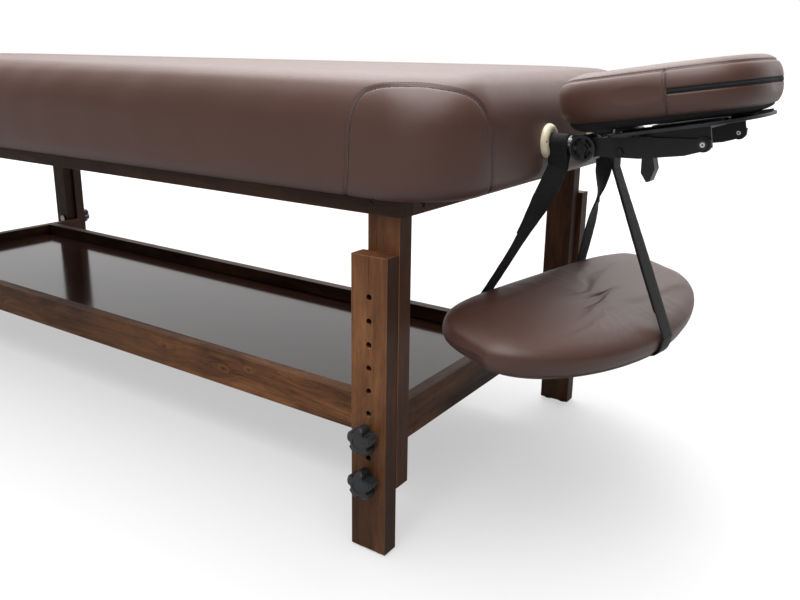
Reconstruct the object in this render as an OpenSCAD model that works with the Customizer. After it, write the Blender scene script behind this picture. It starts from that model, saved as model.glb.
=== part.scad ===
// Wooden massage table with a padded top, telescoping legs, a lower tray,
// a tilting face cradle on two rods and an armrest that hangs from straps.
// Millimetres. +X points to the head end, +Y to the far side, +Z up.
// The origin lies on the floor, under the middle of the whole outline.

/* [Padded top] */
// Length of the padded top over its bulging ends
pad_length = 1800; // [1600:10:2000]
// Width of the padded top over its bulging sides
pad_width = 670; // [600:5:760]
// Height of the padding from its lower edge to the middle of its crown
pad_height = 152.5; // [135:0.5:190]
// Radius of the four corners of the padding, seen from above
pad_corner_r = 95; // [60:1:130]
// Radius over which the top edge of the padding rolls down to the sides
pad_edge_r = 40; // [25:1:50]
// Padding outside the skirt boards along the two long sides
pad_side_wall = 15; // [12:0.5:24]
// Padding outside the end boards at the two ends
pad_end_wall = 26; // [16:1:40]
// Thickness of the deck board under the foam
deck_t = 9; // [6:1:18]
// Thickness of the skirt boards along the long sides
skirt_t = 12; // [8:1:16]
// Thickness of the two end boards under the overhanging ends
end_board_t = 20; // [14:1:30]

/* [Wooden frame] */
// How far each end of the padding overhangs the end rail
end_overhang = 83.4; // [70:0.2:140]
// Gap between the skirt boards and the long rails
skirt_gap = 0.5; // [0.2:0.1:3]
// Height of the lower edge of the frame rails above the floor
frame_z = 470.6; // [440:0.2:560]
// Height of the frame rails
rail_h = 103.4; // [80:0.2:120]
// Thickness of the frame rails
rail_t = 26; // [18:1:36]
// Height of rail left showing below the padding
rail_reveal = 23.4; // [12:0.2:40]
// Number of cross slats under the deck board
slat_count = 4; // [2:1:8]
// Width of each cross slat
slat_w = 60; // [40:1:90]
// Thickness of each cross slat
slat_t = 20; // [12:1:30]
// Size of the square corner blocks behind the end rails
block_w = 40; // [30:1:50]

/* [Posts] */
// Width of a post along the table
post_w = 49; // [40:1:60]
// Thickness of a post across the table
post_t = 26; // [20:1:34]
// How far the long rails stand out past the posts
post_inset_y = 15; // [5:0.5:20]
// How far the end rails stand out past the posts
post_inset_x = 12.6; // [5:0.2:20]
// Height of the lower end of the posts above the floor
post_z = 94; // [70:1:96]

/* [Leg extensions] */
// Width of a leg extension along the table
leg_w = 56; // [50:1:64]
// Thickness of a leg extension
leg_t = 25; // [18:1:34]
// Distance of a leg extension's upper end below the frame rails
leg_top_gap = 50.6; // [30:0.2:90]
// Distance that a leg extension is set back from the post's outer edge
leg_setback = 1; // [0:0.5:3]
// Spacing of the height holes
hole_pitch = 32; // [25:1:34]
// Least distance of the highest hole from the leg extension's upper end
hole_top_edge = 46; // [24:1:70]
// Height of the lowest hole above the foot of a leg extension
hole_foot = 107; // [98:1:120]
// Diameter of the clamp bolts
bolt_d = 8; // [6:1:10]
// Number of hole spacings between the two clamp bolts of a leg
bolt_span = 2; // [1:1:3]
// Height of the glides under each foot
glide_h = 3; // [2:0.5:8]
// Diameter of the glides
glide_d = 19; // [12:1:22]

/* [Star knobs] */
// Diameter of a star knob over its lobes
knob_d = 42; // [34:1:50]
// Depth of a star knob from clamp face to cap
knob_depth = 24; // [20:1:32]
// Number of lobes
knob_lobes = 5; // [4:1:7]
// Radius of each lobe's rounded end
knob_lobe_r = 6.4; // [5:0.1:7]
// Radius of the circle through the bottoms of the valleys
knob_valley_r = 13; // [11:0.1:15]
// Diameter of the round boss that presses on the wood
knob_boss_d = 22; // [16:1:24]

/* [Lower tray] */
// How far the tray's long rails lie inside the posts' outer faces
tray_inset = 76.5; // [50:0.5:110]
// Height of the tray rails
tray_h = 59.4; // [45:0.2:80]
// Thickness of the tray rails
tray_t = 20; // [14:1:26]
// Height of the lower edge of the tray above the floor
tray_z = 113.4; // [100:0.2:160]
// Thickness of the tray panel
panel_t = 10; // [6:1:14]

/* [Cradle base] */
// Diameter of the two cradle rods
rod_d = 18.5; // [14:0.5:22]
// Distance between the two rods
rod_spacing = 164; // [140:2:200]
// Height of the rods above the lower edge of the frame rails
rod_rise = 81.4; // [70:0.2:85]
// Distance of the hub axis from the end of the padding
hub_reach = 60; // [54:1:80]
// Depth that the rods reach into the padded top
rod_depth = 180; // [150:1:200]
// Height of the hub axis below the axis of the rods
hub_drop = 4; // [0:0.5:6]
// Diameter of the hub discs
hub_d = 34; // [30:1:36]
// Diameter of the cross tube between the hubs
cross_d = 18; // [12:1:20]
// Diameter of the cream grommets round the rods
grommet_d = 46; // [40:1:50]
// How far the grommets stand out from the padding
grommet_proud = 8; // [4:0.5:12]

/* [Cradle arms and platform] */
// Distance from the hub axis to the outer pivot
arm_length = 146.6; // [130:0.2:170]
// Depth of an arm plate at its outer end
arm_h = 27; // [22:0.5:32]
// Thickness of an arm plate
arm_t = 4; // [3:0.5:5]
// Height of the outer pivot above the hub axis
arm_rise = 15.5; // [8:0.5:20]
// Upward slope of the platform toward the head, in degrees
platform_tilt = 10.6; // [6:0.1:14]
// Length of the platform plate
platform_length = 192; // [170:1:220]
// Width of the platform plate
platform_width = 252; // [230:1:280]
// Thickness of the platform plate
platform_t = 4; // [3:0.5:6]
// Distance of the plate's top from the outer pivot
platform_lift = 25.6; // [22:0.2:32]
// Thickness of the bracket under the plate
bracket_t = 3.5; // [2:0.5:5]
// Diameter of the pins at the outer pivots
pin_d = 6; // [5:0.5:8]
// Length of the cam lever below its pivot
lever_length = 49; // [35:1:60]

/* [Face cushion] */
// Length of the face cushion along its slope
cushion_length = 267; // [250:1:280]
// Width of the face cushion
cushion_width = 280; // [250:1:300]
// Thickness of the face cushion at its crown
cushion_h = 72; // [55:1:85]
// Upward slope of the cushion toward the head, in degrees
cushion_tilt = 8.5; // [5:0.1:12]
// Width of the face hole
face_hole_w = 118; // [90:1:130]
// Length of the face hole
face_hole_l = 146; // [120:1:160]
// Width of the gap between the two legs of the cushion
chin_gap = 52; // [30:1:70]
// Gap between the cushion and the end of the padding
cushion_gap = 5; // [4:0.5:12]
// Thickness of the grip strips between platform and cushion
grip_t = 2.5; // [1.5:0.1:4]

/* [Armrest sling] */
// Length of the armrest pad
rest_length = 520; // [440:5:600]
// Depth of the armrest pad from back edge to front edge
rest_depth = 224; // [180:2:260]
// Thickness of the armrest pad at its crown
rest_h = 51; // [40:1:65]
// Height that the armrest pad's middle hangs below the hub axis
rest_drop = 246.2; // [220:0.2:270]
// Slope of the armrest pad down to its front edge, in degrees
rest_tilt = 12.6; // [0:0.1:20]
// Skew of the armrest pad seen from above, in degrees
rest_skew = -10; // [-12:0.5:12]
// Width of the straps
strap_w = 28; // [20:1:30]
// Thickness of one layer of strap
strap_t = 1.8; // [1:0.1:3]

/* [Fits] */
// Gap between pieces that slide past one another
slide_gap = 0.2; // [0.1:0.05:0.5]
// Radial clearance of a pin or rod that turns or slides in a bore
run_fit = 0.06; // [0.02:0.01:0.1]
// Gap between soft pieces and their neighbours
soft_gap = 0.3; // [0.2:0.1:1]

/* [Hidden] */
overrun = 2;
big_fn = 72;
small_fn = 36;

// Heights
rail_top = frame_z + rail_h;
pad_z = frame_z + rail_reveal;
deck_top = rail_top + deck_t;
foot_z = glide_h;
rod_z = frame_z + rod_rise;
hub_z = rod_z - hub_drop;

// Boards under the padding
board_x = pad_length / 2 - pad_end_wall;
board_y = pad_width / 2 - pad_side_wall;
board_lift = 2;
board_z = pad_z + board_lift;
skirt_end_share = 0.975;
skirt_x = (pad_length / 2 - pad_corner_r) * skirt_end_share;
end_board_y = (pad_width / 2 - pad_corner_r) * skirt_end_share;
deck_corner_r = pad_corner_r - pad_side_wall / 2;

// Frame places
frame_x = pad_length / 2 - end_overhang;
frame_y = board_y - skirt_t - skirt_gap;
post_x = frame_x - post_inset_x;
post_y = frame_y - post_inset_y;
post_mid_x = post_x - post_w / 2;
leg_shift = (leg_w - post_w) / 2 + leg_setback;
leg_y = post_y + slide_gap;
leg_length = frame_z - leg_top_gap - foot_z;
hole_count = floor((leg_length - hole_foot - hole_top_edge) / hole_pitch) + 1;
low_hole_z = foot_z + hole_foot;
bolt_heights = [low_hole_z, low_hole_z + bolt_span * hole_pitch];
knob_y = leg_y + leg_t + slide_gap;

// Rod places
rod_y = rod_spacing / 2;
rod_r = rod_d / 2;
pad_end_x = pad_length / 2;
hub_x = pad_end_x + hub_reach;
rod_in_x = pad_end_x - rod_depth;
socket_wall = 2.5;
socket_r = rod_r + run_fit + socket_wall;
socket_lead = 20;
grommet_r = grommet_d / 2;
grommet_play = 1;
bracket_back = 21;
bracket_front = 17;
rod_tip_back = 8;
block_gap = 0.4;

// Cradle planes, measured out from the middle of the table
hub_block_wall = 1.6;
hub_block_y = rod_y + rod_r + hub_block_wall;
hub_disc_t = 5;
arm_y = hub_block_y + hub_disc_t + slide_gap;
wheel_t = 8;
pivot_x = hub_x + arm_length;
pivot_z = hub_z + arm_rise;
flange_y = arm_y - slide_gap;
tie_x_share = 0.314;
tie_x = hub_x + arm_length * tie_x_share;
tie_z = hub_z - hub_drop / 2;
tie_d = 8;

// Whole outline along X, which places the origin
plate_front_share = 0.44;
plate_front = platform_length * plate_front_share;
head_end_x = pivot_x + plate_front * cos(platform_tilt) - platform_lift * sin(platform_tilt);
origin_x = (head_end_x - pad_end_x) / 2;

// Armrest place: its middle lies almost under the hub axis
rest_mid_back = 4.7;
rest_mid_x = hub_x - rest_mid_back;
rest_mid_y = -6.5;
rest_mid_z = hub_z - rest_drop;

// Colours
wood = "#4a2a1e";
leather = "#4d3a35";
steel = "#8c8c8c";
black = "#1b1b1d";
cream = "#e6dcc3";

// Closed skin over a list of rings of points, each ring counter-clockwise
// round the direction in which the rings follow one another
module skin(rings) {
  n = len(rings[0]);
  m = len(rings);
  last = (m - 1) * n;
  points = [for (r = rings) for (p = r) p];
  start = [for (i = [1:n - 2]) [0, i, i + 1]];
  finish = [for (i = [1:n - 2]) [last, last + i + 1, last + i]];
  sides = [
    for (j = [0:m - 2]) for (i = [0:n - 1])
      let (a = j * n + i, b = j * n + (i + 1) % n)
      each [[a, a + n, b + n], [a, b + n, b]]
  ];
  polyhedron(points = points, faces = concat(start, sides, finish));
}

// Box from its lower corner to its upper corner
module block(a, b) {
  translate(a) cube(b - a);
}

// A piece drawn on the far side, kept there or mirrored to the near side
module side(s) {
  if (s > 0) children();
  else mirror([0, 1, 0]) children();
}

// A piece drawn at the head end, kept there or mirrored to the foot end
module end_of(s) {
  if (s > 0) children();
  else mirror([1, 0, 0]) children();
}

// Everything is drawn from the middle of the padded top, then moved so that
// the origin lies under the middle of the whole outline
module placed() {
  translate([-origin_x, 0, 0]) children();
}

// Cylinder along Y from y to y + length
module y_rod(x, y, z, length, r, fn = small_fn) {
  translate([x, y, z]) rotate([-90, 0, 0]) cylinder(h = length, r = r, $fn = fn);
}

// Cylinder along X from x to x + length
module x_rod(x, y, z, length, r, fn = small_fn) {
  translate([x, y, z]) rotate([0, 90, 0]) cylinder(h = length, r = r, $fn = fn);
}

// Rounded rectangle of points at one height, counter-clockwise from above
corner_steps = 11;
function round_ring(hx, hy, r, z) = [
  for (c = [0:3]) for (i = [0:corner_steps])
    let (a = 90 * (c + i / corner_steps), sx = (c == 0 || c == 3) ? 1 : -1, sy = c < 2 ? 1 : -1)
    [sx * (hx - r) + r * cos(a), sy * (hy - r) + r * sin(a), z]
];

// Rounded rectangle drawn flat, with round corners
module round_plate(hx, hy, r, z, h) {
  translate([0, 0, z]) linear_extrude(h) {
    square([2 * (hx - r), 2 * hy], center = true);
    square([2 * hx, 2 * (hy - r)], center = true);
    for (sx = [-1, 1]) for (sy = [-1, 1])
      translate([sx * (hx - r), sy * (hy - r)]) circle(r = r, $fn = big_fn);
  }
}

// Padding: the sides are tucked in below, bulge, roll over the top edge and
// rise to a low crown
tuck_y_share = 0.67;
tuck_x_share = 0.8;
low_shares = [[0, 1], [0.1, 0.45], [0.23, 0.14], [0.39, 0], [0.56, 0.02]];
roll_shares = [[0.68, 0.03], [0.76, 0.1], [0.83, 0.2], [0.885, 0.36], [0.93, 0.6], [0.962, 0.92]];
crown_shares = [[0.978, 0.09], [0.991, 0.16], [0.998, 0.28], [1, 0.41]];
function pad_ring(in_x, in_y, z) =
  let (hx = pad_length / 2 - in_x, hy = pad_width / 2 - in_y)
  round_ring(hx, hy, pad_corner_r * hy / (pad_width / 2), pad_z + z);

module pad() {
  tuck_x = pad_end_wall * tuck_x_share;
  tuck_y = pad_side_wall * tuck_y_share;
  rings = concat(
    [for (s = low_shares) pad_ring(tuck_x * s[1], tuck_y * s[1], pad_height * s[0])],
    [for (s = roll_shares) pad_ring(pad_edge_r * s[1], pad_edge_r * s[1], pad_height * s[0])],
    [for (s = crown_shares) pad_ring(pad_width * s[1], pad_width * s[1], pad_height * s[0])]
  );
  color(leather) placed() difference() {
    skin(rings);
    for (p = [[skirt_x, board_y], [board_x, end_board_y], [frame_x, frame_y]])
      block([-p[0] - soft_gap, -p[1] - soft_gap, pad_z - overrun],
        [p[0] + soft_gap, p[1] + soft_gap, rail_top]);
    translate([0, 0, rail_top - soft_gap])
      round_plate(board_x + soft_gap, board_y + soft_gap, deck_corner_r, 0, deck_t + 2 * soft_gap);
    for (s = [-1, 1]) x_rod(board_x, s * rod_y, rod_z, pad_end_wall + overrun, grommet_r + soft_gap, big_fn);
  }
}

module deck_board() {
  color(wood) placed() round_plate(board_x, board_y, deck_corner_r, rail_top, deck_t);
}

module skirt_boards() {
  color(wood) placed() for (s = [-1, 1]) side(s)
    block([-skirt_x, board_y - skirt_t, board_z], [skirt_x, board_y, rail_top]);
}

module end_board(s) {
  color(wood) placed() end_of(s) difference() {
    block([board_x - end_board_t, -end_board_y, board_z], [board_x, end_board_y, rail_top]);
    if (s > 0) for (k = [-1, 1]) {
      x_rod(board_x - end_board_t - overrun, k * rod_y, rod_z, end_board_t + 2 * overrun, socket_r);
      for (a = [0, 180]) screw_place(k, a) translate([0, 0, -screw_length])
        cylinder(h = screw_length + overrun, r = screw_d / 2, $fn = small_fn);
    }
  }
}

module end_board_head() { end_board(1); }
module end_board_foot() { end_board(-1); }

// Long rails run past the end rails, so that their end grain shows
head_d = 12;
head_h = 7;
head_recess = 8;
shank_d = 6;
bolt_in = 31;
side_bolt_rise = 20.4;
end_bolt_rise = 13.4;
bolt_x = post_x - bolt_in;
bolt_y = post_y - bolt_in;
side_bolt_z = frame_z + side_bolt_rise;
end_bolt_z = frame_z + end_bolt_rise;
rail_bore = rail_t + 2 * overrun;
rail_in_x = frame_x - rail_t;
rail_in_y = frame_y - rail_t;
head_x = frame_x - head_recess;
head_y = frame_y - head_recess;

module long_rail(s) {
  color(wood) placed() side(s) difference() {
    block([-frame_x, rail_in_y, frame_z], [frame_x, frame_y, rail_top]);
    for (k = [-1, 1]) {
      y_rod(k * bolt_x, rail_in_y - overrun, side_bolt_z, rail_bore, shank_d / 2);
      y_rod(k * bolt_x, head_y, side_bolt_z, head_recess + overrun, head_d / 2);
    }
  }
}

module rail_near() { long_rail(-1); }
module rail_far() { long_rail(1); }

module end_rail(s) {
  color(wood) placed() end_of(s) difference() {
    block([rail_in_x, -rail_in_y, frame_z], [frame_x, rail_in_y, rail_top]);
    for (k = [-1, 1]) {
      x_rod(rail_in_x - overrun, k * bolt_y, end_bolt_z, rail_bore, shank_d / 2);
      x_rod(head_x, k * bolt_y, end_bolt_z, head_recess + overrun, head_d / 2);
      if (s > 0) x_rod(rail_in_x - overrun, k * rod_y, rod_z, rail_bore, socket_r);
    }
  }
}

module rail_head() { end_rail(1); }
module rail_foot() { end_rail(-1); }

module cross_slats() {
  span = 2 * (post_x - post_w - slat_w);
  color(wood) placed() for (i = [0:slat_count - 1])
    translate([(i / (slat_count - 1) - 1 / 2) * (span - slat_w), 0, rail_top - slat_t / 2])
      cube([slat_w, 2 * rail_in_y, slat_t], center = true);
}

post_in_x = post_x - post_w;
post_in_y = post_y - post_t;
module corner_blocks() {
  color(wood) placed() for (s = [-1, 1]) for (k = [-1, 1]) end_of(s) side(k) difference() {
    block([post_in_x, post_in_y - block_w, frame_z], [rail_in_x, post_in_y, rail_top]);
    x_rod(post_in_x - overrun, bolt_y, end_bolt_z, post_w + overrun, shank_d / 2);
  }
}

// Post with a tongue that fits behind the rails and a shoulder under them
module post(sx, sy) {
  color(wood) placed() end_of(sx) side(sy) difference() {
    block([post_in_x, post_in_y, post_z], [post_x, post_y, rail_top]);
    for (p = [[post_in_x - overrun, rail_in_y], [rail_in_x, post_in_y - overrun]])
      block([p[0], p[1], frame_z], [post_x + overrun, post_y + overrun, rail_top + overrun]);
    for (z = bolt_heights)
      y_rod(post_mid_x + sx * sy * leg_shift, post_in_y - overrun, z, post_t + 2 * overrun, bolt_d / 2);
    y_rod(bolt_x, post_in_y - overrun, side_bolt_z, post_t, shank_d / 2);
  }
}

module post_head_near() { post(1, -1); }
module post_head_far() { post(1, 1); }
module post_foot_near() { post(-1, -1); }
module post_foot_far() { post(-1, 1); }

// Leg extension on the outer face of its post, with its row of height holes
module leg(sx, sy) {
  x = post_mid_x + sx * sy * leg_shift;
  color(wood) placed() end_of(sx) side(sy) difference() {
    block([x - leg_w / 2, leg_y, foot_z], [x + leg_w / 2, leg_y + leg_t, foot_z + leg_length]);
    for (i = [0:hole_count - 1])
      y_rod(x, leg_y - overrun, low_hole_z + i * hole_pitch, leg_t + 2 * overrun, bolt_d / 2 + slide_gap);
  }
}

module leg_head_near() { leg(1, -1); }
module leg_head_far() { leg(1, 1); }
module leg_foot_near() { leg(-1, -1); }
module leg_foot_far() { leg(-1, 1); }

glide_side_share = 0.27;
module glides(sx, sy) {
  x = post_mid_x + sx * sy * leg_shift;
  color(black) placed() end_of(sx) side(sy) for (k = [-1, 1])
    translate([x + k * leg_w * glide_side_share, leg_y + leg_t / 2, 0])
      cylinder(h = glide_h, r = glide_d / 2, $fn = small_fn);
}

module glides_head_near() { glides(1, -1); }
module glides_head_far() { glides(1, 1); }
module glides_foot_near() { glides(-1, -1); }
module glides_foot_far() { glides(-1, 1); }

// Star knob: its lobes and valleys are circles that meet without a corner.
// The clamp face lies at height zero and the knob points up.
knob_lobe_at = knob_d / 2 - knob_lobe_r;
knob_half = 180 / knob_lobes;
knob_valley_round = (pow(knob_lobe_at, 2) + pow(knob_valley_r, 2) - pow(knob_lobe_r, 2)
  - 2 * knob_lobe_at * knob_valley_r * cos(knob_half))
  / (2 * (knob_lobe_r + knob_lobe_at * cos(knob_half) - knob_valley_r));
knob_valley_at = knob_valley_r + knob_valley_round;
dome_shares = [[0, 0.22], [0.9, 0.22], [1.01, 0.3], [1.01, 0.68], [0.96, 0.84], [0.82, 0.94],
  [0.5, 0.99], [0, 1]];
knob_boss_share = 0.26;
knob_bore_share = 0.7;
knob_cap_share = 0.42;
knob_cap_sink = 0.8;

module star_knob() {
  difference() {
    union() {
      cylinder(h = knob_depth * knob_boss_share, r1 = knob_boss_d / 2, r2 = knob_boss_d / 2 - slide_gap,
        $fn = small_fn);
      intersection() {
        linear_extrude(knob_depth) {
          difference() {
            polygon([for (i = [0:2 * knob_lobes - 1])
              let (r = i % 2 == 0 ? knob_lobe_at : knob_valley_at)
              [r * cos(knob_half * i), r * sin(knob_half * i)]]);
            for (i = [0:knob_lobes - 1]) rotate(knob_half * (2 * i + 1))
              translate([knob_valley_at, 0]) circle(r = knob_valley_round, $fn = small_fn);
          }
          for (i = [0:knob_lobes - 1]) rotate(knob_half * 2 * i)
            translate([knob_lobe_at, 0]) circle(r = knob_lobe_r, $fn = small_fn);
        }
        rotate_extrude($fn = big_fn)
          polygon([for (p = dome_shares) [knob_d / 2 * p[0], knob_depth * p[1]]]);
      }
    }
    translate([0, 0, -overrun])
      cylinder(h = knob_depth * knob_bore_share + overrun, r = bolt_d / 2 + run_fit, $fn = small_fn);
    translate([0, 0, knob_depth - knob_cap_sink])
      cylinder(h = knob_cap_sink + overrun, r = knob_d / 2 * knob_cap_share, $fn = small_fn);
  }
}

module knob(sx, sy, z) {
  color(black) placed() translate([sx * post_mid_x + sy * leg_shift, sy * knob_y, z])
    rotate([sy > 0 ? -90 : 90, 0, 0]) rotate(90) star_knob();
}

module knob_head_near_upper() { knob(1, -1, bolt_heights[1]); }
module knob_head_near_lower() { knob(1, -1, bolt_heights[0]); }
module knob_head_far_upper() { knob(1, 1, bolt_heights[1]); }
module knob_head_far_lower() { knob(1, 1, bolt_heights[0]); }
module knob_foot_near_upper() { knob(-1, -1, bolt_heights[1]); }
module knob_foot_near_lower() { knob(-1, -1, bolt_heights[0]); }
module knob_foot_far_upper() { knob(-1, 1, bolt_heights[1]); }
module knob_foot_far_lower() { knob(-1, 1, bolt_heights[0]); }

// Clamp bolts: a round head behind the post, a shank through post and leg
clamp_head_d = 20;
clamp_head_h = 4.5;
clamp_tip_share = 0.62;
module clamp_bolts() {
  length = post_t + slide_gap + leg_t + slide_gap + knob_depth * clamp_tip_share;
  color(steel) placed() for (sx = [-1, 1]) for (sy = [-1, 1]) for (z = bolt_heights) {
    x = sx * post_mid_x + sy * leg_shift;
    side(sy) {
      y_rod(x, post_y - post_t, z, length, bolt_d / 2);
      y_rod(x, post_y - post_t - clamp_head_h, z, clamp_head_h, clamp_head_d / 2);
    }
  }
}

module frame_bolts() {
  color(steel) placed() for (sx = [-1, 1]) for (sy = [-1, 1]) end_of(sx) side(sy) {
    difference() {
      union() {
        y_rod(bolt_x, head_y, side_bolt_z, head_h, head_d / 2);
        y_rod(bolt_x, post_in_y, side_bolt_z, head_y - post_in_y, shank_d / 2);
      }
      y_rod(bolt_x, head_y + head_h / 2, side_bolt_z, head_h, shank_d / 2, 6);
    }
    difference() {
      union() {
        x_rod(head_x, bolt_y, end_bolt_z, head_h, head_d / 2);
        x_rod(post_in_x, bolt_y, end_bolt_z, head_x - post_in_x, shank_d / 2);
      }
      x_rod(head_x + head_h / 2, bolt_y, end_bolt_z, head_h, shank_d / 2, 6);
    }
  }
}

// Tray: four rails with a rebate underneath that holds the panel
tray_x = post_x - post_w;
tray_y = post_y - tray_inset;
rebate = tray_t / 2;
panel_x = tray_x - tray_t + rebate;
panel_y = tray_y - tray_t + rebate;

module tray_panel() {
  color(wood) placed() block([-panel_x, -panel_y, tray_z], [panel_x, panel_y, tray_z + panel_t]);
}

module panel_cut() {
  block([-panel_x, -panel_y, tray_z - overrun], [panel_x, panel_y, tray_z + panel_t]);
}

module tray_side(s) {
  color(wood) placed() side(s) difference() {
    block([tray_t - tray_x, tray_y - tray_t, tray_z], [tray_x - tray_t, tray_y, tray_z + tray_h]);
    panel_cut();
  }
}

module tray_end(s) {
  color(wood) placed() end_of(s) difference() {
    block([tray_x - tray_t, -post_y, tray_z], [tray_x, post_y, tray_z + tray_h]);
    panel_cut();
  }
}

module tray_rail_near() { tray_side(-1); }
module tray_rail_far() { tray_side(1); }
module tray_rail_head() { tray_end(1); }
module tray_rail_foot() { tray_end(-1); }

// Sockets and grommets that guide the cradle rods
module rod_sockets() {
  x0 = rod_in_x - socket_lead;
  color(steel) placed() for (s = [-1, 1]) difference() {
    x_rod(x0, s * rod_y, rod_z, board_x - x0, socket_r, big_fn);
    x_rod(x0 - overrun, s * rod_y, rod_z, board_x - x0 + 2 * overrun, rod_r + run_fit, big_fn);
  }
}

grommet_shares = [[1, 0], [1, 0.3], [0.95, 0.62], [0.85, 0.88], [0.72, 1], [0.58, 0.98], [0.5, 0.8]];
screw_d = 3;
screw_head_d = 5;
screw_length = 12;
screw_ring_share = 0.76;

// Place of a grommet screw: side k, angle a round the rod
module screw_place(k, a) {
  translate([board_x, k * rod_y, rod_z]) rotate([a, 0, 0])
    translate([0, grommet_r * screw_ring_share, 0]) rotate([0, 90, 0]) children();
}

module grommets() {
  depth = pad_end_wall + grommet_proud;
  color(cream) placed() for (s = [-1, 1]) difference() {
    translate([board_x, s * rod_y, rod_z]) rotate([0, 90, 0]) rotate_extrude($fn = big_fn)
      polygon(concat([[rod_r + grommet_play, 0]],
        [for (p = grommet_shares) [grommet_r * p[0], p[1] == 0 ? 0 : pad_end_wall + grommet_proud * p[1]]],
        [[rod_r + grommet_play, depth - grommet_proud / 2]]));
    for (a = [0, 180]) screw_place(s, a) {
      translate([0, 0, -overrun]) cylinder(h = depth, r = screw_d / 2, $fn = small_fn);
      translate([0, 0, depth - grommet_proud / 2])
        cylinder(h = grommet_proud, r = screw_head_d / 2, $fn = small_fn);
    }
  }
}

module grommet_screws() {
  depth = pad_end_wall + grommet_proud / 2;
  color(steel) placed() for (s = [-1, 1]) for (a = [0, 180]) screw_place(s, a) {
    translate([0, 0, -screw_length]) cylinder(h = screw_length + depth, r = screw_d / 2, $fn = small_fn);
    translate([0, 0, depth]) cylinder(h = screw_d / 2, r = screw_head_d / 2, $fn = small_fn);
  }
}

// Cradle base: rods, hub brackets and the tube between them
module rods() {
  color(steel) placed() for (s = [-1, 1])
    x_rod(rod_in_x, s * rod_y, rod_z, hub_x - rod_tip_back - rod_in_x, rod_r, big_fn);
}

module hub_brackets() {
  cross_in = rod_y - rod_r - hub_block_wall;
  half_h = rod_r + hub_block_wall;
  x0 = hub_x - bracket_back;
  color(black) placed() for (s = [-1, 1]) side(s) difference() {
    union() {
      block([x0, cross_in, rod_z - half_h], [hub_x, hub_block_y, rod_z + half_h]);
      y_rod(hub_x, cross_in, hub_z, hub_block_y - cross_in, bracket_front, big_fn);
      y_rod(hub_x, hub_block_y, hub_z, hub_disc_t, hub_d / 2, big_fn);
    }
    x_rod(x0 - overrun, rod_y, rod_z, bracket_back - rod_tip_back + overrun, rod_r, big_fn);
    y_rod(hub_x, hub_block_y - hub_bolt_bite, hub_z, hub_bolt_bite + hub_disc_t + overrun, hub_bolt_d / 2);
  }
}

hub_bolt_d = 8;
hub_bolt_bite = 8;
hex_d = 15;
hex_h = 5;

module cross_tube() {
  reach = rod_y - rod_r - hub_block_wall;
  color(black) placed() difference() {
    y_rod(hub_x, -reach, hub_z, 2 * reach, cross_d / 2, big_fn);
    y_rod(hub_x, -reach - overrun, hub_z, 2 * (reach + overrun), cross_d / 2 - strap_t, big_fn);
  }
}

// Hub wheels: a rim and a web with four arc windows on the outside of the arms
window_turn = 62;
window_in_share = 0.5;
window_out_share = 0.78;
rim_share = 0.86;
web_share = 0.5;
module hub_wheel() {
  window_w = hub_d / 2 * (window_out_share - window_in_share);
  difference() {
    cylinder(h = wheel_t, r = hub_d / 2, $fn = big_fn);
    translate([0, 0, wheel_t * web_share]) cylinder(h = wheel_t, r = hub_d / 2 * rim_share, $fn = big_fn);
    for (i = [0:3]) rotate(90 * i + 45 - window_turn / 2) translate([0, 0, -overrun])
      rotate_extrude(angle = window_turn, $fn = big_fn)
        translate([hub_d / 2 * window_in_share, 0]) square([window_w, wheel_t + 2 * overrun]);
    translate([0, 0, -overrun]) cylinder(h = wheel_t + 2 * overrun, r = hub_bolt_d / 2, $fn = small_fn);
  }
}

module hub_wheels() {
  y0 = arm_y + arm_t + slide_gap;
  color(black) placed() for (s = [-1, 1]) side(s)
    translate([hub_x, y0, hub_z]) rotate([-90, 0, 0]) hub_wheel();
}

module hub_bolts() {
  color(steel) placed() for (s = [-1, 1]) side(s) {
    web_y = arm_y + arm_t + slide_gap + wheel_t * web_share;
    y_rod(hub_x, hub_block_y - hub_bolt_bite, hub_z, web_y - hub_block_y + hub_bolt_bite, hub_bolt_d / 2);
    y_rod(hub_x, web_y, hub_z, hex_h, hex_d / 2, 6);
  }
}

// Arm plates, outlined from hub to outer pivot in shares of length and depth
arm_shares = [[0, -0.6], [0.12, -0.33], [0.49, -0.28], [0.86, 0.02], [0.99, 0.25], [1.064, 0.52],
  [1.064, 0.83], [0.49, 0.71], [0.1, 0.52], [0, 0.52]];
arm_end_share = 0.34;

module arm_plate(s) {
  color(black) placed() side(s) difference() {
    translate([hub_x, arm_y + arm_t, hub_z]) rotate([90, 0, 0]) linear_extrude(arm_t) {
      polygon([for (p = arm_shares) [arm_length * p[0], arm_h * p[1]]]);
      circle(r = hub_d / 2, $fn = big_fn);
      translate([arm_length, arm_rise]) circle(r = arm_h * arm_end_share, $fn = small_fn);
    }
    y_rod(hub_x, arm_y - overrun, hub_z, arm_t + 2 * overrun, hub_bolt_d / 2 + run_fit);
    y_rod(pivot_x, arm_y - overrun, pivot_z, arm_t + 2 * overrun, pin_d / 2);
    y_rod(tie_x, arm_y - overrun, tie_z, arm_t + 2 * overrun, tie_d / 2);
  }
}

module arm_near() { arm_plate(-1); }
module arm_far() { arm_plate(1); }

// Pins at the outer pivots, with a round head outside the arm
pin_head_h = 2.5;
pin_head_share = 1;
module arm_pins() {
  pin_in = flange_y - bracket_t - pin_head_h;
  color(steel) placed() for (s = [-1, 1]) side(s) {
    y_rod(pivot_x, pin_in, pivot_z, arm_y + arm_t - pin_in, pin_d / 2);
    y_rod(pivot_x, arm_y + arm_t, pivot_z, pin_head_h, pin_d * pin_head_share);
  }
}

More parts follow.
